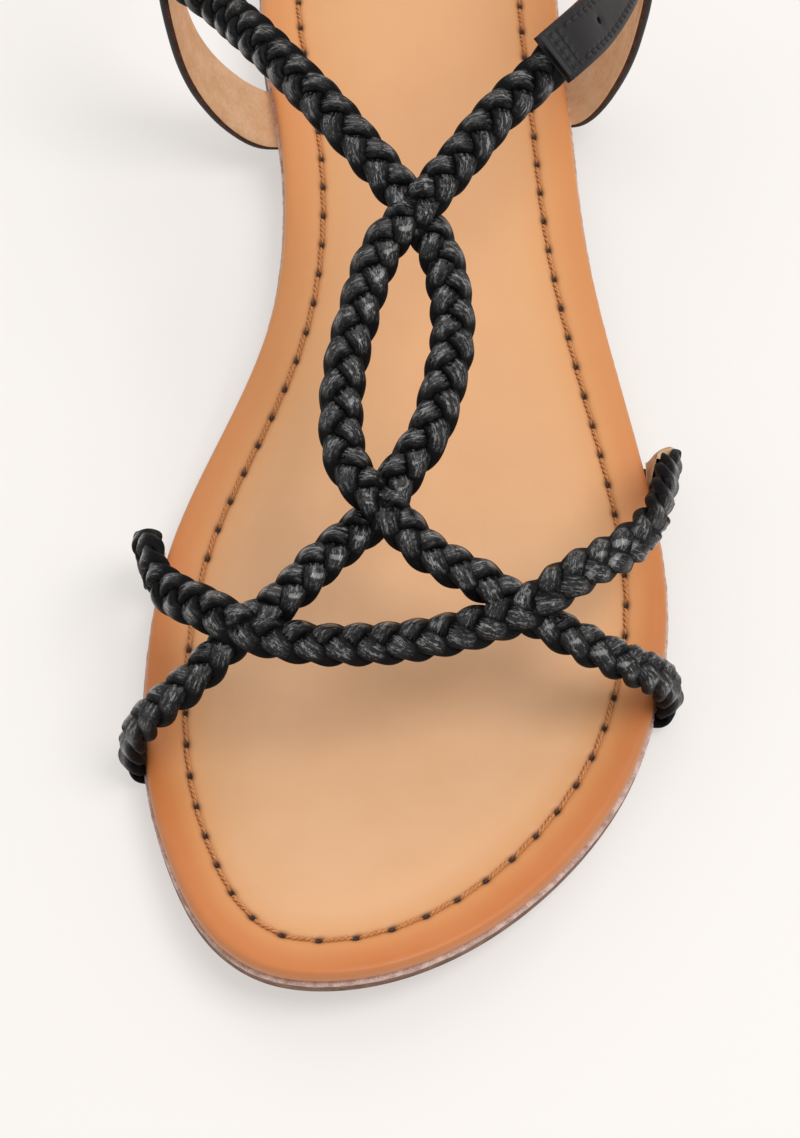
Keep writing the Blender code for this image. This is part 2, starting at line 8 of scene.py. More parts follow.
import json
import logging
import math
from collections.abc import Sequence
from dataclasses import dataclass, field
from enum import Enum
from functools import cached_property
from typing import Any

import bpy
import numpy as np
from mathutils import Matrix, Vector, noise

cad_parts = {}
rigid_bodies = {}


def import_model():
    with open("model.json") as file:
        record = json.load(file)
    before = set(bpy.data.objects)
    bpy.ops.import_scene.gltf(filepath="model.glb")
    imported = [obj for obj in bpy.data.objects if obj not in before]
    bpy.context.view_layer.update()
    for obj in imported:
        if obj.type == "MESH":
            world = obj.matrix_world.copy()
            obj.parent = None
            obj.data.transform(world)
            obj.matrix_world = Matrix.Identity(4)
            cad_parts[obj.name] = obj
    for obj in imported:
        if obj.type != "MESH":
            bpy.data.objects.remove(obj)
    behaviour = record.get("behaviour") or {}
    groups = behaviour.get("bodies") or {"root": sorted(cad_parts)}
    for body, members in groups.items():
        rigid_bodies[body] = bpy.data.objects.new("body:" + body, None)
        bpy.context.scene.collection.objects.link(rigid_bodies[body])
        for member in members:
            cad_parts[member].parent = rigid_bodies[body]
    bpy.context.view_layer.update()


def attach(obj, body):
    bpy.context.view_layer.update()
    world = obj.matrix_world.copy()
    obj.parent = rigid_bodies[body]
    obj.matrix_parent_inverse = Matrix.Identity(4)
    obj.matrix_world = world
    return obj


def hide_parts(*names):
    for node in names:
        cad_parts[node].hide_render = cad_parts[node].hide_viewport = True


MM = 0.001
Array = np.ndarray
Colour = tuple[float, float, float]

LOG = logging.getLogger("sandal")

# Half outlines of the footbed from the heel tip to the toe tip:
# along (share of the footbed's length), across (share of the ball's width)
MEDIAL_OUTLINE = (
    (0.000, 0.000), (0.012, -0.110), (0.050, -0.218), (0.120, -0.295), (0.200, -0.308),
    (0.300, -0.268), (0.385, -0.252), (0.470, -0.280), (0.560, -0.369), (0.650, -0.462),
    (0.740, -0.500), (0.830, -0.493), (0.910, -0.442), (0.965, -0.366), (0.992, -0.272),
    (1.000, -0.150),
)
LATERAL_OUTLINE = (
    (0.000, 0.000), (0.012, 0.110), (0.050, 0.220), (0.120, 0.300), (0.200, 0.318),
    (0.300, 0.338), (0.400, 0.362), (0.500, 0.413), (0.600, 0.472), (0.690, 0.500),
    (0.760, 0.482), (0.836, 0.414), (0.900, 0.308), (0.955, 0.163), (0.988, 0.008),
    (1.000, -0.150),
)

# Form that the straps lie on: along (share of the length), flare of the medial and lateral
# side past the footbed and place of the ridge (shares of the ball's width), ridge height
# over the footbed (share of the instep's height)
FORM_ROWS = (
    (0.16, 0.200, 0.145, 0.000, 1.000), (0.29, 0.205, 0.140, 0.000, 0.925),
    (0.39, 0.170, 0.100, 0.000, 0.830), (0.49, 0.080, 0.034, -0.023, 0.720),
    (0.57, 0.012, 0.006, -0.045, 0.622), (0.65, 0.000, 0.000, -0.068, 0.512),
    (0.735, 0.000, 0.000, -0.090, 0.408), (0.82, 0.000, 0.000, -0.102, 0.330),
    (0.90, 0.000, 0.000, -0.102, 0.268),
)

# Braid routes: along (share of the length), turn over the form in degrees from its ridge
# (medial is negative, 90 is the rim), lift off the form (share of the braid's thickness)
MEDIAL_BRAID = (
    (0.344, -51, 0.00), (0.387, -40, 0.00), (0.420, -31, 0.00), (0.461, -18, 0.00),
    (0.494, -6, -0.10), (0.530, 4, -0.26), (0.557, 9, -0.10), (0.583, 11, 0.00),
    (0.610, 11.5, 0.00), (0.638, 10, 0.00), (0.666, 8, 0.00), (0.684, 5, -0.10),
    (0.709, 2, -0.26), (0.741, -6, -0.06), (0.767, -16, -0.10), (0.782, -27, -0.23),
    (0.806, -41, -0.10), (0.816, -54, 0.00), (0.819, -72, 0.00), (0.817, -90, 0.00),
)
LATERAL_BRAID = (
    (0.405, 35, 0.00), (0.432, 29, 0.00), (0.458, 21, 0.00), (0.491, 13, 0.10),
    (0.530, 4, 0.26), (0.549, 0, 0.10), (0.585, -4, 0.00), (0.611, -5.5, 0.00),
    (0.638, -6, 0.00), (0.666, -5, 0.00), (0.685, -3, 0.10), (0.709, 2, 0.26),
    (0.739, 10, 0.10), (0.751, 18, -0.10), (0.768, 29, -0.26), (0.781, 41, -0.10),
    (0.786, 56, 0.00), (0.781, 74, 0.00), (0.774, 90, 0.00),
)
VAMP_BRAID = (
    (0.672, -90, 0.00), (0.683, -78, 0.00), (0.701, -67, 0.00), (0.722, -61, 0.00),
    (0.741, -53, 0.00), (0.764, -37, 0.10), (0.782, -26, 0.26), (0.797, -5, 0.00),
    (0.797, 2, 0.00), (0.792, 11, 0.00), (0.784, 19, 0.10), (0.767, 29, 0.26),
    (0.739, 39, 0.10), (0.722, 47, 0.00), (0.701, 56, 0.00), (0.676, 64, 0.00),
    (0.647, 71, 0.00), (0.615, 81, 0.00), (0.598, 90, 0.00),
)

# Heel band: along and across as above, up from the outsole's top (share of its height),
# droop of its outer face (1 faces the floor)
BAND_ROWS = (
    (0.286, -0.300, -0.012, 1.00), (0.286, -0.345, 0.036, 0.80), (0.285, -0.395, 0.130, 0.30),
    (0.283, -0.442, 0.280, 0.05), (0.279, -0.470, 0.470, 0.00), (0.266, -0.487, 0.655, 0.00),
    (0.235, -0.488, 0.765, 0.00), (0.188, -0.462, 0.815, 0.00), (0.115, -0.368, 0.855, 0.00),
    (0.050, -0.205, 0.880, 0.00), (0.026, 0.000, 0.890, 0.00), (0.050, 0.210, 0.880, 0.00),
    (0.115, 0.374, 0.855, 0.00), (0.185, 0.458, 0.808, 0.00), (0.224, 0.479, 0.750, 0.00),
    (0.252, 0.482, 0.635, 0.00), (0.262, 0.470, 0.450, 0.00), (0.265, 0.448, 0.275, 0.05),
    (0.266, 0.416, 0.130, 0.30), (0.266, 0.385, 0.036, 0.80), (0.266, 0.350, -0.012, 1.00),
)

# Where a strap leaves the form for the band (along, across, up, lean of its face), then
# its end inside the band: along, rise over the band's middle (share of the band's width)
MEDIAL_FREE_ROW = (0.305, -0.449, 0.770, 0.35)
TAB_FREE_ROW = (0.3068, 0.422, 0.772, 0.62)
JOIN_ROWS = ((0.270, 0.24), (0.255, -0.05), (0.240, -0.12))
TAB_JOIN_ROWS = ((0.251, 0.14), (0.236, 0.01), (0.221, -0.04))
TAB_ROWS = ((0.4245, 30, 1.05), (0.404, 35.5, 1.05), (0.376, 43, 0.45))

# Places where two braids are sewn through: along, turn over the form
CROSSINGS = ((0.530, 4.0), (0.709, 2.0), (0.782, -26.5), (0.7675, 29.0))


class Side(Enum):
    """Side of the foot."""

    MEDIAL = -1
    LATERAL = 1


def smooth_step(value: Any) -> Any:
    """Ease from 0 to 1 with level ends."""
    t = np.clip(value, 0.0, 1.0)
    return t * t * (3 - 2 * t)


def bell(value: Any, width: float) -> Any:
    """Bell curve of height 1 at 0."""
    return np.exp(-np.square(np.asarray(value) / width))


def unit(rows: Array) -> Array:
    """Rows scaled to length 1."""
    return rows / np.linalg.norm(rows, axis=-1, keepdims=True)


def natural_spline(knots: Array, rows: Array, queries: Array) -> Array:
    """Values of the natural cubic spline through rows at the queried knots.

    Args:
        knots: growing places of the rows.
        rows: values at the knots.
        queries: places to read.

    Returns:
        One row of values for each query.
    """
    knots = np.asarray(knots, float)
    rows = np.asarray(rows, float)
    steps = np.diff(knots)
    slopes = np.diff(rows, axis=0) / steps[:, None]
    count = len(knots)
    matrix = np.eye(count)
    right = np.zeros_like(rows)
    for i in range(1, count - 1):
        matrix[i, i - 1:i + 2] = steps[i - 1], 2 * (steps[i - 1] + steps[i]), steps[i]
        right[i] = 6 * (slopes[i] - slopes[i - 1])
    bends = np.linalg.solve(matrix, right)
    place = np.clip(np.searchsorted(knots, queries) - 1, 0, count - 2)
    before = (np.asarray(queries) - knots[place])[:, None]
    span = steps[place][:, None]
    after = span - before
    low, high = bends[place], bends[place + 1]
    return ((low * after ** 3 + high * before ** 3) / (6 * span)
            + (rows[place] / span - low * span / 6) * after
            + (rows[place + 1] / span - high * span / 6) * before)


def cross_frame(line: Array, outward: Array) -> tuple[Array, Array]:
    """Side and up directions, square to a line of points that lies on a surface."""
    tangent = unit(np.gradient(line, axis=0))
    side = unit(np.cross(tangent, outward))
    return side, np.cross(side, tangent)


def chord_knots(points: Array) -> Array:
    """Running chord length of a row of points."""
    legs = np.linalg.norm(np.diff(points, axis=0), axis=1)
    return np.concatenate([[0.0], np.cumsum(legs)])


@dataclass(frozen=True)
class Last:
    """Sizes and lines of the sole and of the form that the straps lie on."""

    length: float = 245 * MM
    ball_width: float = 88.5 * MM
    outsole: float = 3.5 * MM
    insole: float = 3.2 * MM
    pad_rise: float = 0.9 * MM
    heel_lift: float = 6 * MM
    toe_spring: float = 8 * MM
    heel_rest: float = 30 * MM
    instep_height: float = 82 * MM
    band_height: float = 60 * MM
    braid_thickness: float = 3.4 * MM
    gap: float = 0.3 * MM
    heel_breast: float = 0.25
    forefoot_start: float = 0.645
    forefoot_end: float = 0.80
    spring_power: float = 1.8
    section_power: float = 2.3
    band_station: float = 0.286
    lateral_station: float = 0.266

    @cached_property
    def curves(self) -> tuple[Array, Array]:
        """Medial and lateral half outline as fine (along, across) curves."""
        wrap = 4
        loop = np.array(MEDIAL_OUTLINE + LATERAL_OUTLINE[-2:0:-1]) * (self.length, self.ball_width)
        padded = np.vstack([loop[-wrap:], loop, loop[:wrap + 1]])
        knots = chord_knots(padded)
        ends = knots[wrap], knots[wrap + len(loop)]
        fine = natural_spline(knots, padded, np.linspace(*ends, 1600))
        toe = int(np.argmax(fine[:, 0]))
        fine[:, 0] = np.clip(fine[:, 0], 0.0, self.length)
        return fine[:toe + 1], fine[toe:][::-1]

    def rim(self, distance: float, side: Side) -> float:
        """Across place of the footbed's rim at a distance from the heel."""
        curve = self.curves[0 if side is Side.MEDIAL else 1]
        return float(np.interp(distance, curve[:, 0], curve[:, 1]))

    def tread(self, distance: Any) -> Any:
        """Height of the outsole's underside without its heel.

        Args:
            distance: place or places from the heel tip.

        Returns:
            The height there.
        """
        share = np.asarray(distance) / self.length
        run = self.forefoot_start - self.heel_breast
        arch = self.heel_lift * (1 - smooth_step((share - self.heel_breast) / run))
        past = np.clip((share - self.forefoot_end) / (1 - self.forefoot_end), 0, None)
        return arch + self.toe_spring * past ** self.spring_power

    def ground(self, distance: Any) -> Any:
        """Height of the outsole's underside with its heel."""
        return np.where(np.asarray(distance) <= self.heel_breast * self.length, 0.0, self.tread(distance))

    def seam(self, distance: Any) -> Any:
        """Height of the outsole's top."""
        return self.tread(distance) + self.outsole

    def bed(self, distance: Any) -> Any:
        """Height of the footbed's top at its rim."""
        return self.seam(distance) + self.gap + self.insole

    def place(self, distance: float, across: float, height: float) -> Array:
        """Point from a distance from the heel tip, an across place and a height."""
        return np.array([across, self.heel_rest - distance, height])

    def under_seam(self, distance: float) -> Array:
        """Direction square to the outsole's top, pointing into the outsole.

        Args:
            distance: place from the heel tip.

        Returns:
            The direction, not yet of length 1.
        """
        run = 1 * MM
        slope = (self.seam(distance + run) - self.seam(distance - run)) / (2 * run)
        return np.array([0.0, -float(slope), -1.0])

    def form_at(self, along: float, turn: float, lift: float = 0.0) -> tuple[Array, Array]:
        """Point and outward normal of the straps' form.

        Args:
            along: share of the footbed's length.
            turn: degrees from the form's ridge, negative on the medial side.
            lift: distance off the form.

        Returns:
            The point and the normal.
        """
        distance = along * self.length
        rows = np.array(FORM_ROWS)
        share = np.clip(along, rows[0, 0], rows[-1, 0])
        flare_in, flare_out, ridge, height = natural_spline(rows[:, 0], rows[:, 1:], [share])[0]
        stand = self.braid_thickness / 2 + self.gap
        if turn < 0:
            edge = self.rim(distance, Side.MEDIAL) - stand - max(flare_in, 0.0) * self.ball_width
        else:
            edge = self.rim(distance, Side.LATERAL) + stand + max(flare_out, 0.0) * self.ball_width
        crown = ridge * self.ball_width
        reach, rise = edge - crown, height * self.instep_height
        angle = math.radians(abs(turn))
        power = 2 / self.section_power
        sine, cosine = math.sin(angle), max(math.cos(angle), 0.0)
        point = self.place(distance, crown + reach * sine ** power,
                           float(self.bed(distance)) + rise * cosine ** power)
        normal = unit(np.array([sine ** (2 - power) / reach, 0.0, cosine ** (2 - power) / rise]))
        return point + normal * lift, normal

    def strap_point(self, along: float, across: float, up: float) -> Array:
        """Point of a strap beside the ankle, up from the outsole's top at the waist."""
        base = float(self.seam(self.band_station * self.length))
        return self.place(along * self.length, across * self.ball_width, base + up * self.band_height)


class Route:
    """A strap's centre line with its frames."""

    def __init__(self, points: Sequence[Array], facings: Sequence[Array], step: float = 0.3 * MM) -> None:
        """Run one smooth curve through the points.

        Args:
            points: places that the curve passes.
            facings: directions that its outer face looks to there.
            step: distance between the frames kept.
        """
        rows = np.array(points)
        knots = chord_knots(rows)
        both = np.hstack([rows, np.array(facings)])
        fine = natural_spline(knots, both, np.linspace(0, knots[-1], 3000))
        lengths = chord_knots(fine[:, :3])
        self.length = float(lengths[-1])
        count = max(int(round(self.length / step)), 2)
        self.distances = np.linspace(0, self.length, count + 1)
        run = np.gradient(fine[:, :3], lengths, axis=0)
        self.points = self._spread(self.distances, lengths, fine[:, :3])
        self.tangents = unit(self._spread(self.distances, lengths, run))
        faces = self._spread(self.distances, lengths, fine[:, 3:])
        faces = faces - np.sum(faces * self.tangents, axis=1, keepdims=True) * self.tangents
        self.normals = unit(faces)
        self.acrosses = np.cross(self.tangents, self.normals)

    @staticmethod
    def _spread(queries: Array, knots: Array, rows: Array) -> Array:
        """Rows read at the queries, column by column."""
        return np.array([np.interp(queries, knots, rows[:, i]) for i in range(rows.shape[1])]).T

    def frames(self, distances: Array) -> tuple[Array, Array, Array]:
        """Frames of the line.

        Args:
            distances: places from its start.

        Returns:
            Points, normals and across directions.
        """
        points = self._spread(distances, self.distances, self.points)
        normals = unit(self._spread(distances, self.distances, self.normals))
        acrosses = unit(self._spread(distances, self.distances, self.acrosses))
        return points, normals, acrosses

    def spots(self, distances: Array, across: Array, out: Array) -> Array:
        """Grid of points offset from the line.

        Args:
            distances: places of the rows along the line.
            across: offsets sideways, one row for each distance.
            out: offsets along the normal, in the same shape.

        Returns:
            Points of the grid's shape with three coordinates each.
        """
        points, normals, acrosses = self.frames(distances)
        return (points[:, None, :] + acrosses[:, None, :] * across[..., None]
                + normals[:, None, :] * out[..., None])


@dataclass
class Draft:
    """Mesh under construction: grids of points with values on them."""

    points: list[Array] = field(default_factory=list)
    faces: list[Array] = field(default_factory=list)
    slots: list[Array] = field(default_factory=list)
    values: dict[str, list[Array]] = field(default_factory=dict)
    count: int = 0

    def grid(self, points: Array, slot: int | Array = 0, wrap_rows: bool = False,
             wrap_columns: bool = False, **values: Array) -> None:
        """Add a grid of quads.

        Args:
            points: rows by columns by three coordinates.
            slot: material slot of every face, or one for each column of faces.
            wrap_rows: whether the last row joins the first.
            wrap_columns: whether the last column joins the first.
            values: point values by name, in the grid's shape.
        """
        rows, columns = points.shape[:2]
        index = self.count + np.arange(rows * columns).reshape(rows, columns)
        if wrap_rows:
            index = np.vstack([index, index[:1]])
        if wrap_columns:
            index = np.hstack([index, index[:, :1]])
        quads = np.stack([index[:-1, :-1], index[:-1, 1:], index[1:, 1:], index[1:, :-1]], axis=-1)
        marks = np.broadcast_to(np.asarray(slot), quads.shape[:2])
        self.points.append(points.reshape(-1, 3))
        self.faces.append(quads.reshape(-1, 4))
        self.slots.append(marks.reshape(-1))
        for name, grid in values.items():
            self.values.setdefault(name, []).append(np.broadcast_to(grid, points.shape[:2]).reshape(-1))
        self.count += rows * columns

    def tube(self, line: Array, side: Array, up: Array, radius: Array, sides: int) -> None:
        """Add an open round tube.

        Args:
            line: points of its middle.
            side: direction sideways at each point.
            up: direction upwards at each point.
            radius: its radius at each point.
            sides: number of its flat sides.
        """
        turn = np.linspace(0, math.tau, sides, endpoint=False)
        ring = (side[:, None, :] * np.cos(turn)[None, :, None]
                + up[:, None, :] * np.sin(turn)[None, :, None]) * radius[:, None, None]
        self.grid(line[:, None, :] + ring, wrap_columns=True)

    def finish(self, name: str, materials: Sequence[bpy.types.Material], slot: str,
               replaces: Sequence[str] = ()) -> bpy.types.Object:
        """Make the object, and let it ride on the frame.

        Args:
            name: name of the piece.
            materials: its materials in slot order.
            slot: the record's material slot; not used.
            replaces: CAD nodes that the piece stands for.

        Returns:
            The new object.
        """
        mesh = bpy.data.meshes.new(name)
        mesh.from_pydata(np.vstack(self.points).tolist(), [], np.vstack(self.faces).tolist())
        for material in materials:
            mesh.materials.append(material)
        mesh.polygons.foreach_set("material_index", np.concatenate(self.slots).astype(np.int32))
        for key, parts in self.values.items():
            layer = mesh.attributes.new(key, "FLOAT", "POINT")
            layer.data.foreach_set("value", np.concatenate(parts).astype(np.float32))
        mesh.validate()
        mesh.shade_smooth()
        item = bpy.data.objects.new(name, mesh)
        bpy.context.scene.collection.objects.link(item)
        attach(item, "root")
        if replaces:
            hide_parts(*replaces)
        LOG.info("%s: %d faces", name, len(mesh.polygons))
        return item


@dataclass(frozen=True)
class Value:
    """A shader socket that can be used in a Python expression."""

    graph: Graph
    socket: bpy.types.NodeSocket

    def _join(self, operation: str, first: Operand, second: Operand) -> Value:
        """One Math node of two operands."""
        return self.graph.node("ShaderNodeMath", {"operation": operation}, {0: first, 1: second})

    def __add__(self, other: Operand) -> Value:
        """Sum."""
        return self._join("ADD", self, other)

    def __radd__(self, other: Operand) -> Value:
        """Sum, reflected."""
        return self._join("ADD", other, self)

    def __sub__(self, other: Operand) -> Value:
        """Difference."""
        return self._join("SUBTRACT", self, other)

    def __rsub__(self, other: Operand) -> Value:
        """Difference, reflected."""
        return self._join("SUBTRACT", other, self)

    def __mul__(self, other: Operand) -> Value:
        """Product."""
        return self._join("MULTIPLY", self, other)

    def __rmul__(self, other: Operand) -> Value:
        """Product, reflected."""
        return self._join("MULTIPLY", other, self)

    def clamp(self) -> Value:
        """The value held between 0 and 1."""
        return self.graph.node("ShaderNodeClamp", {}, {"Value": self})


Operand = Value | float


class Graph:
    """A material's nodes, with its Principled shader ready."""

    def __init__(self, name: str) -> None:
        """Start a new material of the given name."""
        self.material = bpy.data.materials.new(name)
        self.material.use_nodes = True
        self.tree = self.material.node_tree
        self.shader = self.tree.nodes["Principled BSDF"]

    def node(self, kind: str, settings: dict[str, Any], inputs: dict[int | str, Any],
             output: int | str = 0) -> Value:
        """Add one node.

        Args:
            kind: node type.
            settings: its properties, set first; "stops" are a ramp's places and colours.
            inputs: values or links by socket name or number.
            output: socket that is returned.

        Returns:
            The chosen output.
        """
        made = self.tree.nodes.new(kind)
        for key, value in settings.items():
            if key == "stops":
                self._set_stops(made.color_ramp, value)
            else:
                setattr(made, key, value)
        for key, value in inputs.items():
            self._feed(made.inputs[key], value)
        return Value(self, made.outputs[output])

    @staticmethod
    def _set_stops(ramp: bpy.types.ColorRamp, stops: Sequence[tuple[float, Colour]]) -> None:
        """Give a ramp its places and colours.

        Args:
            ramp: the ramp.
            stops: place and colour of each stop, in order.
        """
        while len(ramp.elements) < len(stops):
            ramp.elements.new(1.0)
        for element, (place, colour) in zip(ramp.elements, stops):
            element.position = place
            element.color = (*colour, 1.0)

    def _feed(self, socket: bpy.types.NodeSocket, value: Any) -> None:
        """Link a value to a socket, or set the socket.

        Args:
            socket: input of a node.
            value: link, number, colour or vector.
        """
        if isinstance(value, Value):
            self.tree.links.new(value.socket, socket)
        elif socket.type == "RGBA":
            socket.default_value = (*value, 1.0)
        else:
            socket.default_value = value

    def attribute(self, name: str) -> Value:
        """Point value of the mesh."""
        return self.node("ShaderNodeAttribute", {"attribute_name": name}, {}, "Fac")

    def spot(self, stretch: tuple[float, float, float] = (1.0, 1.0, 1.0)) -> Value:
        """Place on the object, in millimetres times the stretch."""
        source = self.node("ShaderNodeTexCoord", {}, {}, "Object")
        scale = tuple(value / MM for value in stretch)
        return self.node("ShaderNodeVectorMath", {"operation": "MULTIPLY"}, {0: source, 1: scale})

    def combine(self, x: Operand, y: Operand, z: Operand) -> Value:
        """Vector of three values."""
        return self.node("ShaderNodeCombineXYZ", {}, {"X": x, "Y": y, "Z": z})

    def noise(self, vector: Value, scale: float, detail: float = 3.0, roughness: float = 0.5) -> Value:
        """Cloudy noise between 0 and 1."""
        sockets = {"Vector": vector, "Scale": scale, "Detail": detail, "Roughness": roughness}
        return self.node("ShaderNodeTexNoise", {}, sockets, "Fac")

    def cells(self, vector: Value, scale: float) -> Value:
        """Distance from the edges in a field of cells."""
        return self.node("ShaderNodeTexVoronoi", {"feature": "DISTANCE_TO_EDGE"},
                         {"Vector": vector, "Scale": scale}, "Distance")

    def ramp(self, factor: Value, stops: Sequence[tuple[float, Colour]]) -> Value:
        """Colour read from a ramp."""
        return self.node("ShaderNodeValToRGB", {"stops": stops}, {"Fac": factor}, "Color")

    def spread(self, value: Value, low: float, high: float, to_low: float = 0.0,
               to_high: float = 1.0) -> Value:
        """Value moved from one range to another and held there."""
        sockets = {"Value": value, "From Min": low, "From Max": high,
                   "To Min": to_low, "To Max": to_high}
        return self.node("ShaderNodeMapRange", {"interpolation_type": "SMOOTHSTEP"}, sockets)

    def mix(self, factor: Operand, first: Value | Colour, second: Value | Colour) -> Value:
        """Mix of two colours."""
        return self.node("ShaderNodeMix", {"data_type": "RGBA"}, {0: factor, 6: first, 7: second}, 2)

    def bump(self, height: Value, strength: float, distance: float, under: Value | None = None) -> Value:
        """Bumped normal.

        Args:
            height: relief, 0 to 1.
            strength: share of the relief that shows.
            distance: height of the full relief.
            under: normal that it lies on.

        Returns:
            The new normal.
        """
        sockets: dict[int | str, Any] = {"Height": height, "Strength": strength, "Distance": distance}
        if under is not None:
            sockets["Normal"] = under
        return self.node("ShaderNodeBump", {}, sockets)

    def dress(self, **sockets: Any) -> bpy.types.Material:
        """Feed the Principled shader; a socket's name has _ for its spaces."""
        for name, value in sockets.items():
            self._feed(self.shader.inputs[name.replace("_", " ")], value)
        return self.material


@dataclass(frozen=True)
class FootbedLeather:
    """Smooth tan leather, deeper at the wrapped rim, with painted shade in the stitch groove and holes."""

    # Colours by the inset from the rim, as a share of the footbed's shaded edge
    stops: tuple[tuple[float, Colour], ...] = (
        (0.00, (0.560, 0.205, 0.070)), (0.06, (0.620, 0.190, 0.045)), (0.16, (0.650, 0.220, 0.060)),
        (0.25, (0.705, 0.275, 0.088)), (0.32, (0.735, 0.325, 0.120)), (0.37, (0.755, 0.370, 0.155)),
        (0.60, (0.795, 0.446, 0.232)), (1.00, (0.820, 0.476, 0.262)),
    )
    waist: Colour = (0.800, 0.385, 0.145)
    cloud: Colour = (0.70, 0.33, 0.14)
    # Painted shade: these colours darken the stitch groove and turn the stitch holes near-black
    groove: Colour = (0.40, 0.13, 0.038)
    hole: Colour = (0.035, 0.010, 0.004)
    # The waist's deeper colour fades in between these places, in millimetres along Y; the paler toe it leaves
    # is partly the leather's own tone and partly painted sheen
    waist_fade: tuple[float, float] = (-165.0, -85.0)

    def material(self) -> bpy.types.Material:
        """Make the material."""
        graph = Graph("footbed_leather")
        spot = graph.spot()
        drift = graph.noise(spot, 0.045, 2.0) - 0.5
        base = graph.ramp((graph.attribute("inset") + drift * 0.10).clamp(), self.stops)
        along = graph.node("ShaderNodeSeparateXYZ", {}, {0: spot}, 1)
        # Deeper colour towards the waist; the toe is left paler as painted sheen, partly the leather's own
        # tone
        base = graph.mix(graph.spread(along, *self.waist_fade, 0.0, 0.45), base, self.waist)
        cloud = graph.spread(graph.noise(spot, 0.12, 3.0), 0.3, 0.7, 0.0, 0.12)
        base = graph.mix(cloud, base, self.cloud)
        # Painted shade in the stitch groove and holes, laid on from the mesh's groove and hole masks
        base = graph.mix(graph.attribute("groove") * 0.45, base, self.groove)
        base = graph.mix(graph.attribute("hole").clamp(), base, self.hole)
        grain = graph.cells(spot, 1.9) * 0.5 + graph.noise(spot, 3.2, 4.0) * 0.5
        creases = graph.noise(graph.spot((1.0, 0.24, 1.0)), 0.9, 4.0, 0.6)
        normal = graph.bump(creases, 0.16, 0.25 * MM)
        normal = graph.bump(grain, 0.10, 0.08 * MM, normal)
        rough = graph.noise(spot, 0.8, 3.0) * 0.14 + 0.40
        return graph.dress(Base_Color=base, Roughness=rough, Normal=normal, Specular_IOR_Level=0.46)


@dataclass(frozen=True)
class BraidLeather:
    """Crumpled black leather with glossy crowns, lighter grey in patches as painted highlight and partly worn
    pigment.
    """

    dull: Colour = (0.0027, 0.0025, 0.0030)
    # Lighter grey painted on the crowns: painted highlight, partly worn pigment
    wear_and_highlight: Colour = (0.310, 0.310, 0.314)

    def material(self) -> bpy.types.Material:
        """Make the material."""
        graph = Graph("braid_leather")
        run, side = graph.attribute("run"), graph.attribute("side")
        crown, strip = graph.attribute("crown"), graph.attribute("strip")
        folds = graph.noise(graph.combine(run * 0.70, side * 1.7, strip * 7.0), 1.0, 5.0, 0.62)
        cracks = graph.cells(graph.combine(run * 1.4, side * 2.0, strip * 5.0), 1.0)
        fine = graph.noise(graph.combine(run * 2.6, side * 3.4, strip * 3.0), 1.2, 5.0, 0.7)
        wear_and_highlight_patches = graph.spread(folds * 0.55 + fine * 0.45, 0.49, 0.61)
        # Painted highlight: lighter grey on the upper faces of the crests, in patches, partly worn pigment
        base = graph.mix((crown * wear_and_highlight_patches).clamp(), self.dull, self.wear_and_highlight)
        rough = graph.spread(crown, 0.0, 1.0, 0.50, 0.26) + fine * 0.10
        normal = graph.bump(folds, 0.70, 0.38 * MM)
        normal = graph.bump(graph.spread(cracks, 0.0, 0.20), 0.45, 0.14 * MM, normal)
        normal = graph.bump(fine, 0.55, 0.14 * MM, normal)
        return graph.dress(Base_Color=base, Roughness=rough, Normal=normal,
                           Specular_IOR_Level=0.11, Coat_Weight=crown.clamp(), Coat_Roughness=0.15)


@dataclass(frozen=True)
class StrapLeather:
    """Smooth dull black leather."""

    base: Colour = (0.0095, 0.0084, 0.0095)
    cloud: Colour = (0.015, 0.0135, 0.0145)
    dust: Colour = (0.070, 0.066, 0.062)
    # Painted shade: near-black in the tab's stitch holes
    hole: Colour = (0.0015, 0.0015, 0.0015)

    def material(self) -> bpy.types.Material:
        """Make the material."""
        graph = Graph("strap_leather")
        spot = graph.spot()
        cloud = graph.noise(spot, 0.5, 3.0)
        dust = graph.spread(graph.noise(spot, 2.6, 5.0, 0.7), 0.62, 0.80)
        base = graph.mix(graph.spread(cloud, 0.3, 0.7, 0.0, 0.5), self.base, self.cloud)
        base = graph.mix(dust * 0.5, base, self.dust)
        # Painted shade in the tab's stitch holes
        base = graph.mix(graph.attribute("hole").clamp(), base, self.hole)
        grain = graph.cells(spot, 2.6) * 0.5 + graph.noise(spot, 4.5, 4.0) * 0.5
        normal = graph.bump(grain, 0.28, 0.10 * MM)
        return graph.dress(Base_Color=base, Roughness=cloud * 0.16 + 0.46, Normal=normal,
                           Specular_IOR_Level=0.36)


@dataclass(frozen=True)
class Fibres:
    """Raw fibrous stuff: a cut edge, a suede lining or the sole's side."""

    name: str
    light: Colour
    dark: Colour
    grain: float
    stretch: tuple[float, float, float] = (1.0, 1.0, 1.0)
    relief: float = 0.12 * MM
    roughness: float = 0.82

    def material(self) -> bpy.types.Material:
        """Make the material."""
        graph = Graph(self.name)
        spot = graph.spot(self.stretch)
        coarse = graph.noise(spot, self.grain * 0.22, 3.0)
        fine = graph.noise(spot, self.grain, 5.0, 0.7)
        tone = graph.spread(coarse * 0.5 + fine * 0.5, 0.34, 0.66)
        base = graph.mix(tone, self.dark, self.light)
        normal = graph.bump(fine, 0.6, self.relief)
        return graph.dress(Base_Color=base, Roughness=fine * 0.12 + (self.roughness - 0.06),
                           Normal=normal, Specular_IOR_Level=0.25)


@dataclass(frozen=True)
class Thread:
    """Twisted sewing thread."""

    name: str
    light: Colour
    dark: Colour
    roughness: float = 0.62

    def material(self) -> bpy.types.Material:
        """Make the material."""
        graph = Graph(self.name)
        spot = graph.spot()
        fine = graph.noise(spot, 3.4, 4.0, 0.7)
        base = graph.mix(graph.spread(fine, 0.35, 0.65), self.dark, self.light)
        normal = graph.bump(fine, 0.5, 0.08 * MM)
        return graph.dress(Base_Color=base, Roughness=self.roughness, Normal=normal)


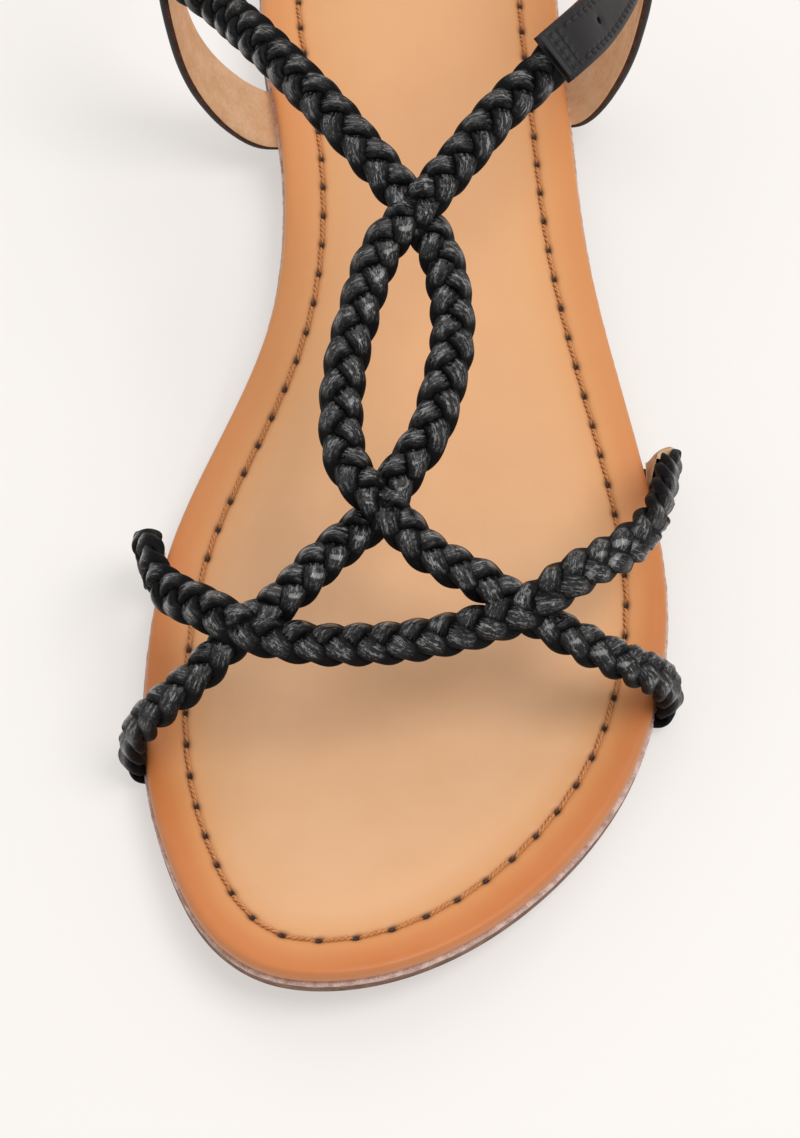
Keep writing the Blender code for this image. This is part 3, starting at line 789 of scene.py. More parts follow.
class Finish:
    """Every material of the sandal, made once."""

    def __init__(self) -> None:
        """Make the materials."""
        self.footbed = FootbedLeather().material()
        self.braid = BraidLeather().material()
        self.strap = StrapLeather().material()
        self.raw_edge = Fibres("raw_edge", (0.120, 0.034, 0.014), (0.030, 0.011, 0.007), 2.2).material()
        self.lining = Fibres("lining_leather", (0.720, 0.470, 0.290), (0.610, 0.360, 0.195), 1.2,
                             relief=0.08 * MM).material()
        self.pale_lining = Fibres("pale_lining", (0.680, 0.460, 0.290), (0.560, 0.340, 0.185), 1.5,
                                  relief=0.08 * MM).material()
        self.sole_side = Fibres("sole_side", (0.300, 0.180, 0.130), (0.150, 0.084, 0.060), 1.6,
                                (1.0, 1.0, 2.2)).material()
        self.sole_edge = Fibres("sole_edge", (0.780, 0.600, 0.540), (0.420, 0.250, 0.195), 2.4).material()
        self.tread = Fibres("sole_tread", (0.260, 0.160, 0.115), (0.180, 0.105, 0.075), 0.7).material()
        self.tan_thread = Thread("tan_thread", (0.740, 0.350, 0.130), (0.470, 0.170, 0.050)).material()
        self.black_thread = Thread("black_thread", (0.030, 0.028, 0.029), (0.010, 0.009, 0.010)).material()


class Outline:
    """Closed line round the footbed at even steps, from the heel tip up the medial side."""

    # Leather pulled tight round the toe: how far its edge stands back there, and
    # where that begins and how long it grows (shares of the footbed's length)
    toe_trim = 1.1 * MM
    toe_start, toe_run = 0.82, 0.16

    def __init__(self, last: Last, count: int) -> None:
        """Read the footbed's rim.

        Args:
            last: the sole's lines.
            count: points round the footbed.
        """
        self.last = last
        medial, lateral = last.curves
        loop = np.vstack([medial, lateral[::-1][1:]])
        lengths = chord_knots(loop)
        even = np.linspace(0, lengths[-1], count, endpoint=False)
        rim = np.array([np.interp(even, lengths, loop[:, i]) for i in range(2)]).T
        run = np.roll(rim, -2, axis=0) - np.roll(rim, 2, axis=0)
        inward = unit(np.stack([-run[:, 1], run[:, 0]], axis=1))
        if np.sum((rim.mean(axis=0) - rim) * inward) < 0:
            inward = -inward
        self.inward = inward
        self.toe = smooth_step((rim[:, 0] / last.length - self.toe_start) / self.toe_run)
        self.rim = rim + inward * (self.toe_trim * self.toe)[:, None]

    def inset(self, depth: Any) -> Array:
        """The rim moved inwards by a depth, as (along, across) rows."""
        return self.rim + self.inward * np.asarray(depth).reshape(-1, 1)

    def spine(self, start: float, end: float) -> Array:
        """The middle of the footbed beside each point of the rim.

        Args:
            start: share of the length where the middle line begins.
            end: share where it ends.

        Returns:
            Rows of (along, across).
        """
        held = np.clip(self.rim[:, 0], start * self.last.length, end * self.last.length)
        medial, lateral = self.last.curves
        sides = [np.interp(held, curve[:, 0], curve[:, 1]) for curve in (medial, lateral)]
        return np.stack([held, (sides[0] + sides[1]) / 2], axis=1)

    def lift(self, rows: Array, height: Array) -> Array:
        """Points in space of (along, across) rows at a height."""
        return np.stack([rows[:, 1], self.last.heel_rest - rows[:, 0], height], axis=1)

    def ring(self, depth: Any, height: Array) -> Array:
        """Points in space of the rim moved inwards by a depth, at a height."""
        return self.lift(self.inset(depth), height)


@dataclass
class Sole:
    """Thin outsole with its pale top edge."""

    last: Last
    finish: Finish
    overhang: float = 0.45 * MM
    ledge: float = 0.8 * MM
    ease: float = 0.7 * MM
    skive: float = 0.6 * MM
    fray: float = 0.10 * MM
    fray_length: float = 1.6 * MM
    stations: int = 900

    # Material of each strip of faces, from the middle of the tread up to the middle of the top
    slots = (2, 2, 2, 1, 1, 1, 1, 0, 0, 0, 0, 2)

    def build(self) -> None:
        """Build the outsole."""
        last, outline = self.last, Outline(self.last, self.stations)
        wobble = np.array([noise.noise(Vector((*row, 0.0)) / self.fray_length) for row in outline.rim])
        out = self.overhang * (1 - 0.5 * outline.toe) + self.fray * wobble
        rim = outline.rim[:, 0]
        seam = last.seam(rim)
        ground = last.ground(rim) + self.skive * outline.toe
        spine = outline.spine(0.10, 0.88)
        between = 0.5 * (outline.inset(self.ease) + spine)
        rows = [
            outline.lift(spine, last.ground(spine[:, 0])),
            outline.lift(between, last.ground(between[:, 0])),
            outline.ring(6 * self.ease, ground),
            outline.ring(self.ease, ground),
            outline.ring(0.25 * self.ease - 0.6 * self.overhang, ground + 0.25 * self.ease),
            outline.ring(-0.6 * self.overhang, ground + self.ease),
            outline.ring(-0.75 * out, 0.5 * (ground + seam)),
            outline.ring(-0.8 * out, seam - self.ledge),
            outline.ring(-out, seam - 0.8 * self.ledge + 0.15 * self.fray * wobble),
            outline.ring(-out, seam - 0.35 * self.ledge),
            outline.ring(0.3 * MM - out, seam - 0.02 * MM),
            outline.ring(2 * MM, seam),
            outline.lift(spine, last.seam(spine[:, 0])),
        ]
        draft = Draft()
        draft.grid(np.stack(rows, axis=1), np.array(self.slots), wrap_rows=True)
        materials = (self.finish.sole_edge, self.finish.sole_side, self.finish.tread)
        draft.finish("outsole_layers", materials, "sole_leather", ["outsole"])


@dataclass
class Footbed:
    """Wrapped and stitched footbed."""

    last: Last
    finish: Finish
    stitch_line: float = 7 * MM
    pitch: float = 6 * MM
    first_hole: float = 0.90
    groove_depth: float = 0.34 * MM
    groove_width: float = 0.65 * MM
    hole_reach: float = 0.85 * MM
    hole_width: float = 0.48 * MM
    hole_depth: float = 0.55 * MM
    pucker: tuple[float, float, float] = (0.8 * MM, 2.0 * MM, 0.10 * MM)
    pad_start: float = 0.4 * MM
    pad_run: float = 9 * MM
    shaded_edge: float = 20 * MM
    thread_radius: float = 0.24 * MM
    thread_start: float = 0.10
    thread_span: float = 0.80
    thread_slant: float = 0.35 * MM
    thread_dive: float = 1.3 * MM
    twist: float = 2.1 * MM
    stations: int = 1000

    # Section of the rolled edge: inset and share of the insole's thickness
    roll = ((0.60, 0.00), (0.20, 0.16), (0.03, 0.36), (0.00, 0.52), (0.06, 0.66), (0.22, 0.79),
            (0.50, 0.885), (0.95, 0.945), (1.60, 0.985), (2.60, 1.0), (4.00, 1.0), (5.20, 1.0),
            (5.90, 1.0), (6.35, 1.0), (6.65, 1.0), (6.85, 1.0), (7.00, 1.0), (7.15, 1.0),
            (7.35, 1.0), (7.65, 1.0), (8.10, 1.0), (8.80, 1.0), (9.80, 1.0), (11.2, 1.0),
            (13.0, 1.0), (15.5, 1.0))
    inner_steps = 9

    def __post_init__(self) -> None:
        """Lay out the stitch line."""
        self.outline = Outline(self.last, self.stations)
        line = self.outline.inset(self.stitch_line)
        closed = np.vstack([line, line[:1]])
        self.line_lengths = chord_knots(closed)
        self.stitches = int(round(self.line_lengths[-1] / self.pitch))
        self.real_pitch = float(self.line_lengths[-1] / self.stitches)
        self.line = closed

    def build(self) -> None:
        """Build the leather and its stitches."""
        self._leather()
        self._thread()

    def _pad(self, inset: Array) -> Array:
        """Rise of the padded middle at an inset from the rim."""
        return self.last.pad_rise * smooth_step((inset - self.stitch_line - self.pad_start) / self.pad_run)

    def _from_hole(self) -> Array:
        """Distance of each station from its nearest hole, along the stitch line."""
        phase = self.line_lengths[:-1] / self.real_pitch - self.first_hole
        return (phase - np.round(phase)) * self.real_pitch

    def _leather(self) -> None:
        """Leather surface with the stitch groove, holes and puckers."""
        last, outline = self.last, self.outline
        gap = self._from_hole()
        spine = outline.spine(0.12, 0.86)
        deepest = self.roll[-1][0] * MM
        edge = outline.inset(deepest)
        rings, heights, insets = [], [], []
        base = last.seam(outline.rim[:, 0])
        rings.append(spine)
        heights.append(last.seam(spine[:, 0]))
        insets.append(np.full(self.stations, deepest))
        for inset_mm, share in self.roll:
            row = outline.inset(inset_mm * MM)
            rings.append(row)
            seat = base if inset_mm < 1 else last.seam(row[:, 0])
            heights.append(seat + (last.insole + last.gap) * share)
            insets.append(np.full(self.stations, inset_mm * MM))
        for step in range(1, self.inner_steps + 1):
            share = step / self.inner_steps
            row = edge + (spine - edge) * share
            rings.append(row)
            heights.append(last.seam(row[:, 0]) + last.insole + last.gap)
            insets.append(deepest + np.linalg.norm(row - edge, axis=1))
        depth = np.stack(insets, axis=1)
        height = np.stack(heights, axis=1)
        top = np.zeros_like(depth)
        top[:, 6:] = 1.0
        off_line = depth - self.stitch_line
        near = bell(gap, self.hole_reach)[:, None]
        # The groove and hole masks dent the surface and also carry the painted shade that the material lays
        # into the groove and holes
        groove = bell(off_line, self.groove_width) * top
        hole = bell(off_line, self.hole_width) * near * top
        run, side, deep = self.pucker
        pucker = bell(gap, run)[:, None] * bell(off_line, side) * top
        height = height + self._pad(depth) * top - self.groove_depth * groove * (0.55 + 0.45 * near)
        height = height - self.hole_depth * hole - deep * pucker
        plan = np.stack(rings, axis=1)
        points = np.stack([plan[..., 1], last.heel_rest - plan[..., 0], height], axis=-1)
        draft = Draft()
        draft.grid(points, wrap_rows=True, inset=np.clip(depth / self.shaded_edge, 0, 1), groove=groove,
                   hole=np.clip(1.7 * hole, 0, 1))
        draft.finish("footbed_leather", [self.finish.footbed], "footbed_leather", ["insole"])

    def _thread(self) -> None:
        """Twisted two-ply stitches from hole to hole."""
        draft = Draft()
        t = np.linspace(0, 1, 26)
        upward = np.array([0.0, 0.0, 1.0])
        thick = self.thread_radius * (1.0 - 0.35 * np.abs(2 * t - 1) ** 4)
        for number in range(self.stitches):
            start = (number + self.first_hole + self.thread_start) * self.real_pitch
            reach = start + self.thread_span * self.real_pitch * t
            lengths = np.mod(reach, self.line_lengths[-1])
            line = np.array([np.interp(lengths, self.line_lengths, self.line[:, i]) for i in range(2)]).T
            run = unit(np.gradient(line, axis=0))
            aside = np.stack([-run[:, 1], run[:, 0]], axis=1)
            line = line + aside * ((t - 0.5) * self.thread_slant)[:, None]
            top = self.last.bed(line[:, 0]) - self.groove_depth * 0.9 + self.thread_radius * 1.7
            centre = self.outline.lift(line, top - self.thread_dive * (np.abs(2 * t - 1) ** 7))
            side, up = cross_frame(centre, upward)
            for ply in (0.0, math.pi):
                angle = ply + math.tau * (reach - start) / self.twist + number
                aim = side * np.cos(angle)[:, None] + up * np.sin(angle)[:, None]
                draft.tube(centre + aim * (thick * 0.85)[:, None], side, up, thick, 6)
        draft.finish("footbed_stitches", [self.finish.tan_thread], "footbed_leather")


@dataclass(frozen=True)
class Pinch:
    """Place where two braids are sewn through and pulled together."""

    centre: Array
    normal: Array
    radius: float = 2.2 * MM
    depth: float = 1.5 * MM
    rays: int = 8
    ridge: float = 0.42 * MM
    # Only what lies above this height under the middle moves, faded in over twice the height
    floor: float = 0.6 * MM

    def press(self, points: Array) -> Array:
        """Move points down towards the sewn middle, with creases that run out from it.

        Args:
            points: places in any grid.

        Returns:
            The moved points in the same grid.
        """
        away = points - self.centre
        height = away @ self.normal
        flat = away - height[..., None] * self.normal
        reach = np.linalg.norm(flat, axis=-1)
        east = unit(np.cross(self.normal, np.array([0.3, 1.0, 0.1])))
        north = np.cross(self.normal, east)
        angle = np.arctan2(flat @ north, flat @ east)
        upper = smooth_step((height + self.floor) / (2 * self.floor)) * (reach < 4 * self.radius)
        dip = self.depth * bell(reach, self.radius)
        spokes = 2 * np.abs(np.cos(self.rays * angle / 2)) ** 0.6 - 1.2
        star = self.ridge * spokes * bell(reach - 1.1 * self.radius, 0.9 * self.radius)
        return points - self.normal * ((dip - star) * upper)[..., None]


@dataclass
class Braid:
    """One braid of three leather strips along a route."""

    name: str
    route: Route
    start_flat: float = 0.0
    start_tail: bool = False
    width: float = 7.5 * MM
    strip_width: float = 4.5 * MM
    strip_thickness: float = 1.9 * MM
    edge_narrowing: float = 0.30
    edge_swelling: float = 0.18
    weave: float = 0.90 * MM
    period: float = 15 * MM
    uneven: float = 0.25
    uneven_length: float = 9 * MM
    lean: float = 0.70
    tail: float = 8 * MM
    tail_thickness: float = 1.3 * MM
    tail_width: float = 8 * MM
    joined_thickness: float = 1.8 * MM
    thickness: float = 3.4 * MM
    step: float = 0.30 * MM
    around: int = 28
    seed: float = 0.0
    smooth_ends: tuple[float, float] = (20 * MM, 20 * MM)
    press: float = 0.0
    pressed: float = 1.7 * MM
    bow: float = 1.2 * MM
    wide_power: float = 0.76
    high_power: float = 0.58
    crown_width: float = 0.56
    # Creases: length along the strip, number over half its width, height
    crumple: tuple[float, float, float] = (2.2 * MM, 1.5, 0.15 * MM)
    fold: tuple[float, float, float] = (4.5 * MM, 4.2, 0.13 * MM)

    def flatness(self, distances: Array) -> tuple[Array, Array, Array]:
        """How the braid is pressed flat.

        Args:
            distances: places along the braid.

        Returns:
            For each place how flat it is, 0 to 1, and its thickness and width where flat.
        """
        from_end = self.route.length - distances
        early = distances < self.route.length / 2
        if self.start_tail:
            from_end = np.minimum(from_end, distances)
        flat = smooth_step(1 - (from_end - self.tail - self.press) / (0.55 * self.tail))
        root = smooth_step((from_end - self.tail) / (0.5 * self.tail)) * min(self.press / MM, 1.0)
        thin = self.tail_thickness + (self.pressed - self.tail_thickness) * root
        wide = np.full_like(flat, self.tail_width)
        if not self.start_tail:
            first = smooth_step(1 - (distances - self.start_flat) / (0.8 * self.start_flat))
            flat = np.where(early, first, flat)
            thin = np.where(early, self.joined_thickness, thin)
            wide = np.where(early, self.width, wide)
        return flat, thin, wide

    def set_out(self, distances: Array) -> Array:
        """How far the pressed ends stand off the middle of the braid's wall.

        Args:
            distances: places along the braid.

        Returns:
            One distance for each place.
        """
        from_end = np.minimum(distances, self.route.length - distances)
        low = smooth_step((from_end - self.tail - 1.5 * MM) / (1.2 * self.tail))
        high = smooth_step(1 - (from_end - self.tail - self.press) / (0.9 * self.tail))
        return self.bow * low * high * min(self.press / MM, 1.0)

    def _worn(self, distances: Array) -> Array:
        """How worn and crumpled the strips are, less so near the ends; it also scales the crowns' painted
        highlight.

        Args:
            distances: places along the braid.

        Returns:
            A share for each place.
        """
        wear_and_highlight = np.ones_like(distances)
        for end, from_end in zip(self.smooth_ends, (distances, self.route.length - distances)):
            wear_and_highlight = wear_and_highlight * (0.25 + 0.75 * smooth_step((from_end - 0.5 * end) / end))
        return wear_and_highlight

    def _ripple(self, distances: Array, cosine: Array, sine: Array, length: float, across: float,
                shift: float) -> Array:
        """Folds of a strip's surface, longer along it than across.

        Args:
            distances: places of the rings.
            cosine: across places of a ring's points, -1 to 1.
            sine: out places of a ring's points, -1 to 1.
            length: size of a fold along the strip.
            across: folds over half the strip's width.
            shift: start in the noise.

        Returns:
            One row for each ring.
        """
        return np.array([
            [noise.noise(Vector((d / length + shift, c * across, s * 0.8 + self.seed * 3)))
             for c, s in zip(cosine, sine)]
            for d in distances
        ])

    def strand(self, draft: Draft, index: int, pinches: Sequence[Pinch]) -> None:
        """Add one strip to the draft.

        Args:
            draft: mesh of the braid.
            index: number of the strip.
            pinches: sewn places that press it down.
        """
        distances = np.arange(0.0, self.route.length, self.step)
        flat, thin, wide = self.flatness(distances)
        squeeze = 1 + (thin / self.thickness - 1) * flat
        stretch = 1 + (wide / self.width - 1) * flat
        phase = math.tau * (distances / self.period + index / 3)
        phase = phase + self.uneven * np.sin(distances / self.uneven_length + self.seed)
        swing = (self.width - self.strip_width * (1 - self.edge_narrowing)) / 2
        lateral = swing * np.sin(phase) * stretch
        out = self.weave * np.sin(2 * phase) * squeeze + self.set_out(distances)
        centre = self.route.spots(distances, lateral[:, None], out[:, None])[:, 0]
        _, normals, acrosses = self.route.frames(distances)
        tangent = unit(np.gradient(centre, axis=0))
        face = unit(normals - np.sum(normals * tangent, axis=1, keepdims=True) * tangent)
        side = np.cross(tangent, face)
        side = side * np.sign(np.sum(side * acrosses, axis=1, keepdims=True))
        roll = (self.lean * np.sin(phase) * (1 - flat))[:, None]
        face, side = face * np.cos(roll) + side * np.sin(roll), side * np.cos(roll) - face * np.sin(roll)
        turn = np.linspace(0, math.tau, self.around, endpoint=False)
        cosine, sine = np.cos(turn), np.sin(turn)
        wide_unit = np.sign(cosine) * np.abs(cosine) ** self.wide_power
        high_unit = np.sign(sine) * np.abs(sine) ** self.high_power
        edge = np.sin(phase) ** 2
        half_wide = self.strip_width / 2 * (1 - self.edge_narrowing * edge) * stretch
        half_high = self.strip_thickness / 2 * (1 + self.edge_swelling * edge) * squeeze
        wear_and_highlight = self._worn(distances)
        crumple = self._ripple(distances, cosine, sine, *self.crumple[:2], 17.0 * index)
        fold = self._ripple(distances, cosine, sine, *self.fold[:2], 31.0 * index + 5)
        across = half_wide[:, None] * wide_unit * (1 + 0.06 * crumple)
        bulge = self.crumple[2] * crumple + self.fold[2] * fold
        bulge = bulge * (squeeze * (0.35 + 0.65 * wear_and_highlight))[:, None]
        up = half_high[:, None] * high_unit + bulge * np.sign(sine)
        points = centre[:, None, :] + side[:, None, :] * across[..., None] + face[:, None, :] * up[..., None]
        for pinch in pinches:
            points = pinch.press(points)
        # The crown marks the upper face of each crest, where the material paints its lighter grey as painted
        # highlight and lays a coat
        crest = smooth_step(np.sin(2 * phase))[:, None]
        crown = crest * (bell(cosine, self.crown_width) * (sine > 0))[None, :]
        draft.grid(points, wrap_columns=True, run=np.broadcast_to((distances / MM)[:, None], across.shape),
                   side=across / MM, crown=crown * wear_and_highlight[:, None],
                   strip=np.full(across.shape, index + self.seed))
        for end in (points[:1], points[-1:]):
            middle = np.broadcast_to(end.mean(axis=1, keepdims=True), end.shape)
            cap = np.concatenate([end, middle], axis=0)
            blank = np.zeros(cap.shape[:2])
            draft.grid(cap, wrap_columns=True, run=blank, side=blank, crown=blank, strip=blank)

    def build(self, finish: Finish, pinches: Sequence[Pinch], replaces: Sequence[str] = ()) -> None:
        """Build the three strips as one piece.

        Args:
            finish: the materials.
            pinches: sewn places.
            replaces: CAD nodes that the piece stands for.
        """
        draft = Draft()
        for index in range(3):
            self.strand(draft, index, pinches)
        draft.finish(self.name, [finish.braid], "braid_leather", replaces)


@dataclass
class Band:
    """Heel band of black leather with raw edges and a tan lining."""

    last: Last
    finish: Finish
    width: float = 12.5 * MM
    thickness: float = 2.2 * MM
    tail: float = 8 * MM
    tail_thickness: float = 1.3 * MM
    sink: float = 0.2 * MM
    heel_centre: float = 0.13
    ankle_start: float = 0.4
    knot_step: float = 5 * MM
    step: float = 0.8 * MM
    wave: float = 0.05 * MM
    wave_length: float = 6 * MM

    # Section: across (share of the half width), out (share of the half thickness),
    # material of the face that follows (0 black leather, 1 raw edge, 2 lining)
    section = (
        (-0.93, 0.86, 0), (-0.80, 1.0, 0), (-0.4, 1.0, 0), (0.0, 1.0, 0), (0.4, 1.0, 0),
        (0.80, 1.0, 0), (0.93, 0.86, 0), (1.0, 0.45, 0), (1.0, 0.0, 1), (0.99, -0.55, 2),
        (0.94, -0.92, 2), (0.80, -1.0, 2), (0.4, -1.0, 2), (0.0, -1.0, 2), (-0.4, -1.0, 2),
        (-0.80, -1.0, 2), (-0.94, -0.92, 2), (-0.99, -0.55, 1), (-1.0, 0.0, 0), (-1.0, 0.45, 0),
    )

    @cached_property
    def route(self) -> Route:
        """Line of the band with both ends tucked into the outsole."""
        last = self.last
        points, facings = [], []
        for along, across, up, droop in BAND_ROWS:
            spot = last.strap_point(along, across, up)
            centre = last.place(max(along, self.heel_centre) * last.length, 0, 0)
            outward = (spot - centre) * (1, 1, 0)
            points.append(spot)
            facings.append(unit(outward) * (1 - droop) + last.under_seam(along * last.length) * droop)
        for side, station in ((Side.MEDIAL, last.band_station), (Side.LATERAL, last.lateral_station)):
            distance = station * last.length
            down = last.under_seam(distance)
            buried = float(last.seam(distance)) - self.tail_thickness / 2 - self.sink
            edge = last.rim(distance, side)
            ends = [last.place(distance, edge - side.value * self.tail * share, buried)
                    for share in (0.1, 0.5, 1.0)]
            downs = [down] * len(ends)
            if side is Side.MEDIAL:
                points, facings = ends[::-1] + points, downs + facings
            else:
                points, facings = points + ends, facings + downs
        return Route(points, facings, self.knot_step)

    def join(self, side: Side, thickness: float, free_row: Sequence[float],
             end_rows: Sequence[tuple[float, float]]) -> tuple[list[Array], list[Array]]:
        """Points and facings of a strap that is sewn inside the band.

        Args:
            side: side of the foot.
            thickness: the strap's thickness at its end.
            free_row: where the strap leaves the form.
            end_rows: its places inside the band.

        Returns:
            Points and facings from the form to the strap's end.
        """
        along, across, up, lean = free_row
        route = self.route
        points = [self.last.strap_point(along, across, up)]
        facings = [np.array([side.value, 0.0, lean])]
        half = len(route.points) // 2
        order = slice(half, None) if side is Side.LATERAL else slice(half, None, -1)
        lowest = self.last.strap_point(0, 0, self.ankle_start)[2]
        ankle = route.points[order, 2] > lowest
        alongs = self.last.heel_rest - route.points[order, 1][ankle]
        distances = route.distances[order][ankle]
        inside = self.thickness / 2 + self.last.gap + thickness / 2
        for along, rise in end_rows:
            here = np.interp([along * self.last.length], alongs, distances)
            spot, out, _ = route.frames(here)
            points.append(spot[0] - out[0] * inside + np.array([0, 0, rise * self.width]))
            facings.append(out[0])
        return points, facings

    def build(self) -> None:
        """Build the band."""
        fine = Route(self.route.points, self.route.normals, self.step)
        distances = fine.distances
        end = np.minimum(distances, fine.length - distances)
        skived = smooth_step(1 - (end - self.tail) / (0.5 * self.tail))
        high = (self.thickness + (self.tail_thickness - self.thickness) * skived) / 2
        shape = np.array(self.section)
        wave = np.array([[noise.noise(Vector((d / self.wave_length, a * 1.4, o))) for a, o, _ in self.section]
                         for d in distances])
        across = np.broadcast_to(shape[:, 0] * self.width / 2, wave.shape)
        out = high[:, None] * shape[:, 1] + self.wave * wave
        draft = Draft()
        draft.grid(fine.spots(distances, across, out), shape[:, 2].astype(int), wrap_columns=True)
        materials = (self.finish.strap, self.finish.raw_edge, self.finish.lining)
        draft.finish("heel_band_leather", materials, "strap_leather", ["heel_band"])


@dataclass
class Tab:
    """Punched ankle tab with a folded end and stitch rows."""

    last: Last
    finish: Finish
    band: Band
    width: float = 9.3 * MM
    thickness: float = 1.8 * MM
    joined_thickness: float = 1.8 * MM
    punch: float = 14.5 * MM
    punch_radius: float = 0.62 * MM
    margin: float = 1.45 * MM
    pitch: float = 1.95 * MM
    end_rows: tuple[float, float] = (1.9 * MM, 3.5 * MM)
    edge_round: float = 0.8 * MM
    edge_drop: float = 0.30 * MM
    flap_length: float = 1.7 * MM
    flap_drops: tuple[float, float] = (0.55 * MM, 0.15 * MM)
    dot: tuple[float, float, float] = (0.46 * MM, 0.40 * MM, 0.40 * MM)
    punch_dip: tuple[float, float] = (1.1 * MM, 0.28 * MM)
    thread_radius: float = 0.21 * MM
    thread_sink: float = 0.06 * MM
    thread_dive: float = 0.45 * MM
    columns: int = 33
    step: float = 0.3 * MM

    @cached_property
    def route(self) -> Route:
        """Line of the tab from the lateral braid to the inside of the band."""
        stack = self.thickness / 2 + self.last.gap + self.joined_thickness / 2
        pairs = [self.last.form_at(along, turn, lift * stack) for along, turn, lift in TAB_ROWS]
        more, faces = self.band.join(Side.LATERAL, self.thickness, TAB_FREE_ROW, TAB_JOIN_ROWS)
        return Route([p for p, _ in pairs] + more, [n for _, n in pairs] + faces, self.step)

    @property
    def seam_offset(self) -> float:
        """Offset of the long stitch rows from the tab's middle."""
        return self.width / 2 - self.margin

    @property
    def stitch_count(self) -> int:
        """Stitches of one long row."""
        return int((self.route.length - self.end_rows[1]) / self.pitch)

    def _rows(self) -> list[tuple[float, float]]:
        """Places of the stitch holes: distance from the end, offset across."""
        side = self.seam_offset
        places = []
        for number in range(1, self.stitch_count):
            distance = self.end_rows[1] + number * self.pitch
            places += [(distance, side), (distance, -side)]
        for distance in self.end_rows:
            places += [(distance, side * share) for share in (-1.0, -0.5, 0.0, 0.5, 1.0)]
        return places

    def _relief(self, along: Array, flat: Array) -> tuple[Array, Array]:
        """Outer face of the tab with its folded end, stitch holes and dip at the punch.

        Args:
            along: distance of each point from the tab's end.
            flat: offset of each point across the tab.

        Returns:
            The face's heights and the painted shade of the stitch holes.
        """
        half = self.width / 2
        flap = smooth_step(1 - along / self.flap_length)
        top = self.thickness / 2 - self.flap_drops[0] * flap
        top = top - self.edge_drop * smooth_step((np.abs(flat) - half + self.edge_round) / self.edge_round)
        painted_hole_shade = np.zeros(flat.shape)
        run, side, deep = self.dot
        for distance, across in self._rows():
            near = bell(along - distance, run) * bell(flat - across, side)
            top = top - deep * near
            painted_hole_shade = np.maximum(painted_hole_shade, near)
        ridge = bell(along - 0.55 * MM, 0.35 * MM) - 0.8 * bell(along - 1.25 * MM, 0.25 * MM)
        between = bell(along - sum(self.end_rows) / 2, 0.45 * MM)
        top = top + 0.20 * MM * ridge + 0.12 * MM * between * (np.abs(flat) < half - self.margin)
        wide, deep = self.punch_dip
        top = top - deep * bell(np.hypot(along - self.punch, flat), wide)
        return top, np.clip(2.2 * painted_hole_shade - 0.6, 0, 1)

    def build(self) -> None:
        """Build the leather, its punched hole and its stitches."""
        distances = self.route.distances
        shares = np.linspace(-1, 1, self.columns)
        flat = np.broadcast_to(shares * (self.width / 2), (len(distances), self.columns))
        along = np.broadcast_to(distances[:, None], flat.shape)
        top, painted_hole_shade = self._relief(along, flat)
        low = -self.thickness / 2 - self.flap_drops[1] * smooth_step(1 - along / self.flap_length)
        across = np.concatenate([flat, flat[:, ::-1]], axis=1)
        grid = self.route.spots(distances, across, np.concatenate([top, low], axis=1))
        marks = np.concatenate([painted_hole_shade, np.zeros(flat.shape)], axis=1)
        draft = Draft()
        faces = self.columns - 1
        slots = np.array([0] * faces + [1] + [2] * faces + [1])
        draft.grid(grid, slots, wrap_columns=True, hole=marks)
        for end in (grid[0], grid[-1]):
            cap = np.stack([end[:self.columns], end[self.columns:][::-1]], axis=0)
            draft.grid(cap, 0, hole=np.zeros(cap.shape[:2]))
        materials = (self.finish.strap, self.finish.raw_edge, self.finish.lining)
        item = draft.finish("ankle_tab_leather", materials, "strap_leather", ["ankle_tab"])
        self._punch(item)
        self._stitches()

    def _punch(self, item: bpy.types.Object) -> None:
        """Cut the round hole through the tab.

        Args:
            item: the tab's leather.
        """
        point, normal, across = (rows[0] for rows in self.route.frames(np.array([self.punch])))
        run = np.cross(normal, across)
        turn = np.linspace(0, math.tau, 24, endpoint=False)
        ring = (across * np.cos(turn)[:, None] + run * np.sin(turn)[:, None]) * self.punch_radius
        reach = normal * 2 * self.thickness
        points = np.vstack([point + ring + reach, point + ring - reach])
        count = len(turn)
        faces = [list(range(count)), list(range(2 * count - 1, count - 1, -1))]
        faces += [[i, i + count, (i + 1) % count + count, (i + 1) % count] for i in range(count)]
        mesh = bpy.data.meshes.new("punch")
        mesh.from_pydata(points.tolist(), [], faces)
        cutter = bpy.data.objects.new("punch", mesh)
        bpy.context.scene.collection.objects.link(cutter)
        welded = item.modifiers.new("weld", "WELD")
        welded.merge_threshold = 0.002 * MM
        modifier = item.modifiers.new("punch", "BOOLEAN")
        modifier.operation = "DIFFERENCE"
        modifier.solver = "EXACT"
        modifier.object = cutter
        shape = bpy.context.evaluated_depsgraph_get()
        cut = bpy.data.meshes.new_from_object(item.evaluated_get(shape))
        item.modifiers.clear()
        item.data = cut
        bpy.data.objects.remove(cutter)

    def _stitches(self) -> None:
        """Black thread between the holes of each row."""
        draft = Draft()
        side = self.seam_offset
        for offset in (-side, side):
            for number in range(1, self.stitch_count - 1):
                start = self.end_rows[1] + (number + 0.16) * self.pitch
                self._loop(draft, (start, offset), (start + 0.68 * self.pitch, offset))
        for distance in self.end_rows:
            for share in (-1.0, -0.5, 0.0, 0.5):
                self._loop(draft, (distance, side * (share + 0.08)), (distance, side * (share + 0.42)))
        draft.finish("ankle_tab_stitches", [self.finish.black_thread], "strap_leather")

    def _loop(self, draft: Draft, start: tuple[float, float], stop: tuple[float, float]) -> None:
        """Add one stitch.

        Args:
            draft: mesh of the stitches.
            start: distance and offset across of its first hole.
            stop: those of its second hole.
        """
        t = np.linspace(0, 1, 9)
        along = start[0] + (stop[0] - start[0]) * t
        across = start[1] + (stop[1] - start[1]) * t
        out = self.thickness / 2 - self.thread_sink - self.thread_dive * np.abs(2 * t - 1) ** 4
        centre = self.route.spots(along, across[:, None], out[:, None])[:, 0]
        side, up = cross_frame(centre, self.route.frames(along)[1])
        draft.tube(centre, side, up, np.full(len(t), self.thread_radius), 7)


